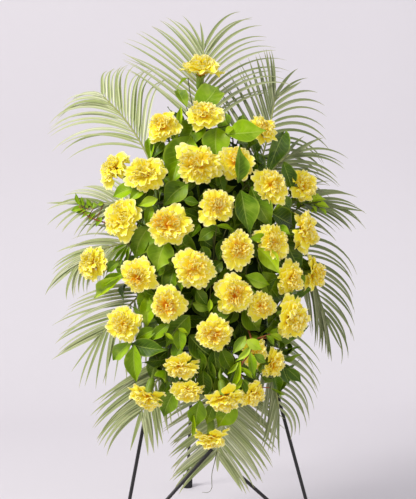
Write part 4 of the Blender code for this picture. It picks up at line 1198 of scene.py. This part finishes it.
frondSize = {"firstLayer": 0.040, "layerStep": 0.007, "fall": 0.12, "width": 0.0062, "rachis": 0.0018,
             "inFoam": 0.018, "rows": 12, "steps": 24, "sides": 7, "taper": 0.68, "sag": 0.16}
# how far leaflets differ from one another, angles in radians and the others as shares
leafletVaries = {"angle": (-0.05, 0.05), "bend": (-0.14, 0.14), "hook": (0.25, 1.3), "reach": (0.93, 1.06),
                 "rise": (0.02, 0.16), "tone": (0.0, 1.0), "wide": (0.36, 0.64)}
# the powers with which a leaflet turns along its length, and how far that runs ahead of its chord's turn
leafletTurns = {"steady": (1.3, 0.565), "hook": (6.0, 0.857)}
broader = {"bottom": 1.30, "lower_left": 1.15}      # leaflets wider than on the others
# the fronds that pass from the foam's depth down between the two lower braces, between a top and a foot:
# there they lie on a plane that tilts sideways and keep only a share of their own depth
passing = {"fronds": ("bottom",), "foot": 0.215, "top": 0.375, "across": 0.008, "tilt": 0.14, "low": 0.0005,
           "flat": 0.35}


# a unit leaflet: its width at each point along it, folded to a V
def leafletShape():
    shape = Shape()

    def spotAt(along, across):
        width = min(1.0, 0.30 + 4.2 * along) * max(0.03, 1.0 - along ** 2.6)
        return Vector((across * width, along, 0.60 * abs(across) * width))

    shape.blade(frondSize["rows"], 2, spotAt, 0.14)
    return shape


def frondTree():
    sides = [("%s %s" % (side, what), kind) for side in ("Left", "Right", "End")
             for what, kind in (("count", "Int"), ("angles", "Vector"), ("bends", "Vector"),
                                ("lengths", "Vector"), ("hook", "Float"))]
    graph, given = newTree("palmFrond", ("First", "Float"), ("Out", "Float"), ("Passing", "Float"),
                           ("Frond shade", "Float"), ("Width", "Float"), ("Seed", "Int"), ("Leaflet", "Object"),
                           ("Leaf material", "Material"), ("Rachis material", "Material"),
                           ("Place", "Vector"), ("Turn", "Vector"), *sides)
    seed = given.out("Seed")
    line = graph.add("GeometryNodeMeshToCurve", None, {"Mesh": given.out("Geometry")})
    done = []
    for number, side in enumerate(("Left", "Right", "End")):
        first = given.out("First") if side != "End" else 0.99
        part = graph.add("GeometryNodeTrimCurve", {"mode": "FACTOR"}, {"Curve": line, 2: first, 3: 1.0})
        count = given.out(side + " count")
        points = graph.add("GeometryNodeCurveToPoints", {"mode": "COUNT"}, {"Curve": part, "Count": count})
        run = graph.split(points.out("Tangent"))
        start = run.math("ARCTAN2", run.out("Y"), run)
        share = (graph.add("GeometryNodeInputIndex") / count.math("MAXIMUM", count - 1.0, 1.0)).clamp()

        def chance(what, offset):
            return graph.random(*leafletVaries[what], seed * 11 + number * 5 + offset)

        # a value given at the rachis's base, middle and tip
        def along(what):
            three = graph.split(given.out("%s %s" % (side, what)))
            return (three * (1.0 - share) * (1.0 - share * 2.0) + three.out("Y") * share * (1.0 - share) * 4.0
                    + three.out("Z") * share * (share * 2.0 - 1.0))

        values = {"leafAngle": start + along("angles") + chance("angle", 1),
                  "leafBend": along("bends") + chance("bend", 2),
                  "leafHook": given.out(side + " hook") * chance("hook", 6),
                  "leafReach": along("lengths") * chance("reach", 3),
                  "leafRise": chance("rise", 4), "tone": chance("tone", 5),
                  "leafWide": given.out("Width") * chance("wide", 7)}
        for name, value in values.items():
            points = graph.store(points, name, value)
        points = graph.store(points, "leafSpot", graph.add("GeometryNodeInputPosition"),
                             data_type="FLOAT_VECTOR")
        single = graph.add("GeometryNodeObjectInfo", None, {"Object": given.out("Leaflet")}, "Geometry")
        placed = graph.add("GeometryNodeInstanceOnPoints", None, {"Points": points, "Instance": single})
        done.append(graph.add("GeometryNodeRealizeInstances", None, {"Geometry": placed}))
    leaves = graph.joinAll(*done)

    def stored(name, kind="FLOAT"):
        return graph.add("GeometryNodeInputNamedAttribute", {"data_type": kind}, {"Name": name}, "Attribute")

    # each leaflet follows a plane curve whose heading turns steadily and then hooks over near its end
    spot = graph.split(stored("leafSpot", "FLOAT_VECTOR"))
    own = graph.add("ShaderNodeVectorMath", {"operation": "SUBTRACT"},
                    {0: graph.add("GeometryNodeInputPosition"), 1: stored("leafSpot", "FLOAT_VECTOR")})
    own = graph.split(own)
    t, reach = own.out("Y"), stored("leafReach")
    (steadyPower, steadyAhead), (hookPower, hookAhead) = leafletTurns["steady"], leafletTurns["hook"]
    steady, hook = stored("leafBend") * t ** steadyPower, stored("leafHook") * t ** hookPower
    chord = stored("leafAngle") + steady / (steadyPower + 1.0) + hook / (hookPower + 1.0)
    turning = chord + chord.math("ARCTANGENT", steady * steadyAhead + hook * hookAhead)
    wide = stored("leafWide")
    aside = own * wide
    across = spot + reach * t * chord.cos() - aside * turning.sin()
    up = spot.out("Y") + reach * t * chord.sin() + aside * turning.cos()
    rise = reach * (stored("leafRise") * t - frondSize["sag"] * t * t) + own.out("Z") * wide
    leaves = graph.add("GeometryNodeSetPosition", None,
                       {"Geometry": leaves, "Position": graph.vector(across, up, rise)})
    leaves = graph.store(leaves, "shade", given.out("Frond shade"))
    for name in ("leafAngle", "leafBend", "leafHook", "leafReach", "leafRise", "leafWide", "leafSpot"):
        leaves = graph.add("GeometryNodeRemoveAttribute", None, {"Geometry": leaves, "Name": name})
    leaves = graph.paint(leaves, given.out("Leaf material"))
    share = graph.add("GeometryNodeSplineParameter")
    thick = graph.add("GeometryNodeSetCurveRadius", None,
                      {"Curve": line, "Radius": 1.0 - share * frondSize["taper"]})
    ring = graph.add("GeometryNodeCurvePrimitiveCircle", None,
                     {"Resolution": frondSize["sides"], "Radius": frondSize["rachis"]})
    rachis = graph.add("GeometryNodeCurveToMesh", None,
                       {"Curve": thick, "Profile Curve": ring, "Fill Caps": True})
    rachis = graph.add("GeometryNodeSetShadeSmooth", None, {"Geometry": rachis})
    whole = graph.joinAll(graph.paint(rachis, given.out("Rachis material")), leaves)
    # laid on the surface that all fronds follow, then stood up in the leaning plane
    x = graph.split(graph.add("GeometryNodeInputPosition"))
    y, z = x.out("Y"), x.out("Z")
    bowl = given.out("Out") - (x * x + (y - foam["middleUp"]) ** 2.0) * frondSize["fall"]
    low = (x + passing["across"]) * passing["tilt"] + passing["low"]
    step = graph.add("ShaderNodeMapRange", {"interpolation_type": "SMOOTHSTEP"},
                     {"Value": y, "From Min": passing["foot"], "From Max": passing["top"]})
    step = 1.0 - given.out("Passing") * (1.0 - step)
    flat = passing["flat"]
    out = z * (flat + step * (1.0 - flat)) + low * (1.0 - step) + bowl * step
    whole = graph.add("GeometryNodeSetPosition", None,
                      {"Geometry": whole, "Position": graph.vector(x, -out, y)})
    whole = graph.add("GeometryNodeTransform", None,
                      {"Geometry": whole, "Translation": given.out("Place"), "Rotation": given.out("Turn")})
    endTree(graph, whole)
    return graph.tree


def rachisLine(entry, knee, tip):
    entry, knee, tip = Vector(entry), Vector(knee), Vector(tip)
    inner = entry - (knee - entry).normalized() * frondSize["inFoam"]
    spots = [(*inner, 0.0)]
    for number in range(frondSize["steps"] + 1):
        t = number / frondSize["steps"]
        spots.append((*(entry * (1 - t) ** 2 + knee * 2 * t * (1 - t) + tip * t * t), 0.0))
    made = bpy.data.meshes.new("rachisLine")
    made.from_pydata(spots, [(k, k + 1) for k in range(len(spots) - 1)], [])
    return made


def makeFronds():
    tree = frondTree()
    leaflet = addObject("leaflet", leafletShape().mesh("leaflet"), bpy.data.collections.new("leafletStore"))
    for number, (name, shape) in enumerate(palmFronds.items()):
        entry, knee, tip, first, left, right, layer, frondShade, (endLength, endAngle) = shape
        end = (1, (endAngle,) * 3, (4, 4, 4), (endLength,) * 3, 0)
        values = {"First": first, "Seed": number, "Frond shade": frondShade,
                  "Width": frondSize["width"] * broader.get(name, 1.0),
                  "Out": frondSize["firstLayer"] + frondSize["layerStep"] * layer, "Leaflet": leaflet,
                  "Passing": float(name in passing["fronds"]), "Leaf material": looks["frond"],
                  "Rachis material": looks["rachis"], "Place": toWorld.translation, "Turn": toWorldTurn}
        for side, (count, angles, bends, lengths, hook) in (("Left", left), ("Right", right), ("End", end)):
            values.update({side + " count": count, side + " angles": [radians(value) for value in angles],
                           side + " bends": [radians(value) for value in bends], side + " lengths": lengths,
                           side + " hook": radians(hook)})
        mesh = runTree("frond_" + name, tree, rachisLine(entry, knee, tip), values)
        addPiece("frond_" + name, mesh, "palm_leaf", "palm_" + name)
    print("fronds made")


makeFronds()

# a loose fibre that curls away from the bottom frond's tip
fibre = {"radius": 0.0006, "path": ((0.002, 0.197, 0.002), (-0.004, 0.176, 0.004), (-0.009, 0.158, 0.005),
                                    (-0.010, 0.143, 0.005), (-0.010, 0.134, 0.004), (-0.014, 0.127, 0.003),
                                    (-0.020, 0.125, 0.003), (-0.028, 0.126, 0.004))}


def makeFibre():
    shape = Shape()
    path = bend([place(*point) for point in fibre["path"]], 6)
    shape.tube(path, taper(path, fibre["radius"], 1.2, 0.7), 6)
    addPiece("bottomFibre", shape.mesh("bottomFibre", looks["twig"]), "palm_leaf")


makeFibre()

# --- the welds where the two lower braces meet the front legs, just above the foot caps ---
weld = {"radius": 0.0032, "sides": 10, "capTop": 0.026, "footHalfSpread": 0.182, "headHalfSpread": 0.006,
        "legTop": 0.800, "meet": (-0.008, 0.200), "aside": 0.00335, "inLeg": 0.003, "inBrace": 0.0225}


def makeWelds():
    up = weld["capTop"] / cos(lean)
    inward = (weld["footHalfSpread"] - weld["headHalfSpread"]) / weld["legTop"]
    for side, label in ((-1, "left"), (1, "right")):
        foot = place(side * (weld["footHalfSpread"] - inward * up), up, 0.0)
        run = (place(*weld["meet"], -side * weld["aside"]) - foot).normalized()
        shape = Shape()
        shape.tube([foot + run * weld["inLeg"], foot + run * weld["inBrace"]], weld["radius"], weld["sides"])
        addPiece("braceWeld_" + label, shape.mesh("braceWeld_" + label, looks["steel"]), "black_steel")


makeWelds()

# --- stage ---
# the backdrop is painted darker on the left and lighter on the right: painted shade, evening out the key
# light's fall-off from the left
stage = {"left": "D7D3D8", "right": "E3DFE4", "shadeRun": 0.7, "front": -4.0, "back": 0.9, "radius": 0.7,
         "top": 5.0, "halfWidth": 5.0}
room = {"colour": (0.97, 0.965, 0.985, 1.0), "strength": 0.71}
lights = {
    "key": {"spot": (-2.3, -1.6, 2.8), "target": (0.0, -0.1, 0.55), "size": 1.1, "power": 102.0,
            "colour": (1.0, 0.985, 0.96)},
    "fill": {"spot": (2.2, -2.0, 1.4), "target": (0.0, -0.1, 0.5), "size": 1.8, "power": 4.0,
             "colour": (0.96, 0.97, 1.0)},
}


def makeStage():
    look, graph, shader = newLook("paleBackdrop", Roughness=0.9, Specular_IOR_Level=0.1)
    # painted shade: darker on the left, lighter on the right, across the backdrop
    share = (graph.split(objectSpot(graph)) * stage["shadeRun"] + 0.5).clamp()
    feed(graph, shader, "Base Color", graph.mixColour(share, stage["left"], stage["right"]))
    behind = graph.add("ShaderNodeNewGeometry", None, None, "Backfacing")
    feed(graph, shader, "Alpha", 1.0 - behind)      # clear from behind
    back, radius, half = stage["back"], stage["radius"], stage["halfWidth"]
    curve = [(back + radius * sin(radians(a)), radius - radius * cos(radians(a))) for a in range(0, 91, 6)]
    profile = [(stage["front"], 0.0), *curve, (back + radius, stage["top"])]
    shape = Shape()
    rows = [[shape.spot((side, y, z)) for side in (-half, half)] for y, z in profile]
    for lower, upper in zip(rows, rows[1:]):
        shape.face([lower[0], lower[1], upper[1], upper[0]])
    sweep = addObject("backdrop", shape.mesh("backdrop", look))


def setLights():
    world = bpy.data.worlds.new("softRoom")
    bpy.context.scene.world = world
    world.use_nodes = True
    world.node_tree.nodes["Background"].inputs["Color"].default_value = room["colour"]
    world.node_tree.nodes["Background"].inputs["Strength"].default_value = room["strength"]
    for name, values in lights.items():
        light = bpy.data.lights.new(name, "AREA")
        light.shape = "RECTANGLE"
        light.size = light.size_y = values["size"]
        light.energy = values["power"]
        light.color = values["colour"]
        made = addObject(name, light)
        made.location = values["spot"]
        aim = Vector(values["target"]) - Vector(values["spot"])
        made.rotation_euler = aim.to_track_quat("-Z", "Y").to_euler()
    bpy.context.scene.view_settings.view_transform = "Standard"
    print("stage and lights set")


makeStage()
setLights()


# the finishes of the solids that show as they are
def dressFrame():
    for name, node in nodes.items():
        if name.startswith("foot_cap"):
            look = looks["rubber"]
        elif name == "foam_tray":
            look = looks["tray"]
        elif name == "floral_foam":
            look = looks["foam"]
        elif name.startswith(("carnation", "palm", "leaf_sprig")):
            continue
        else:
            look = looks["steel"]
        for slot in node.material_slots:
            slot.material = look
    print("frame dressed")


dressFrame()
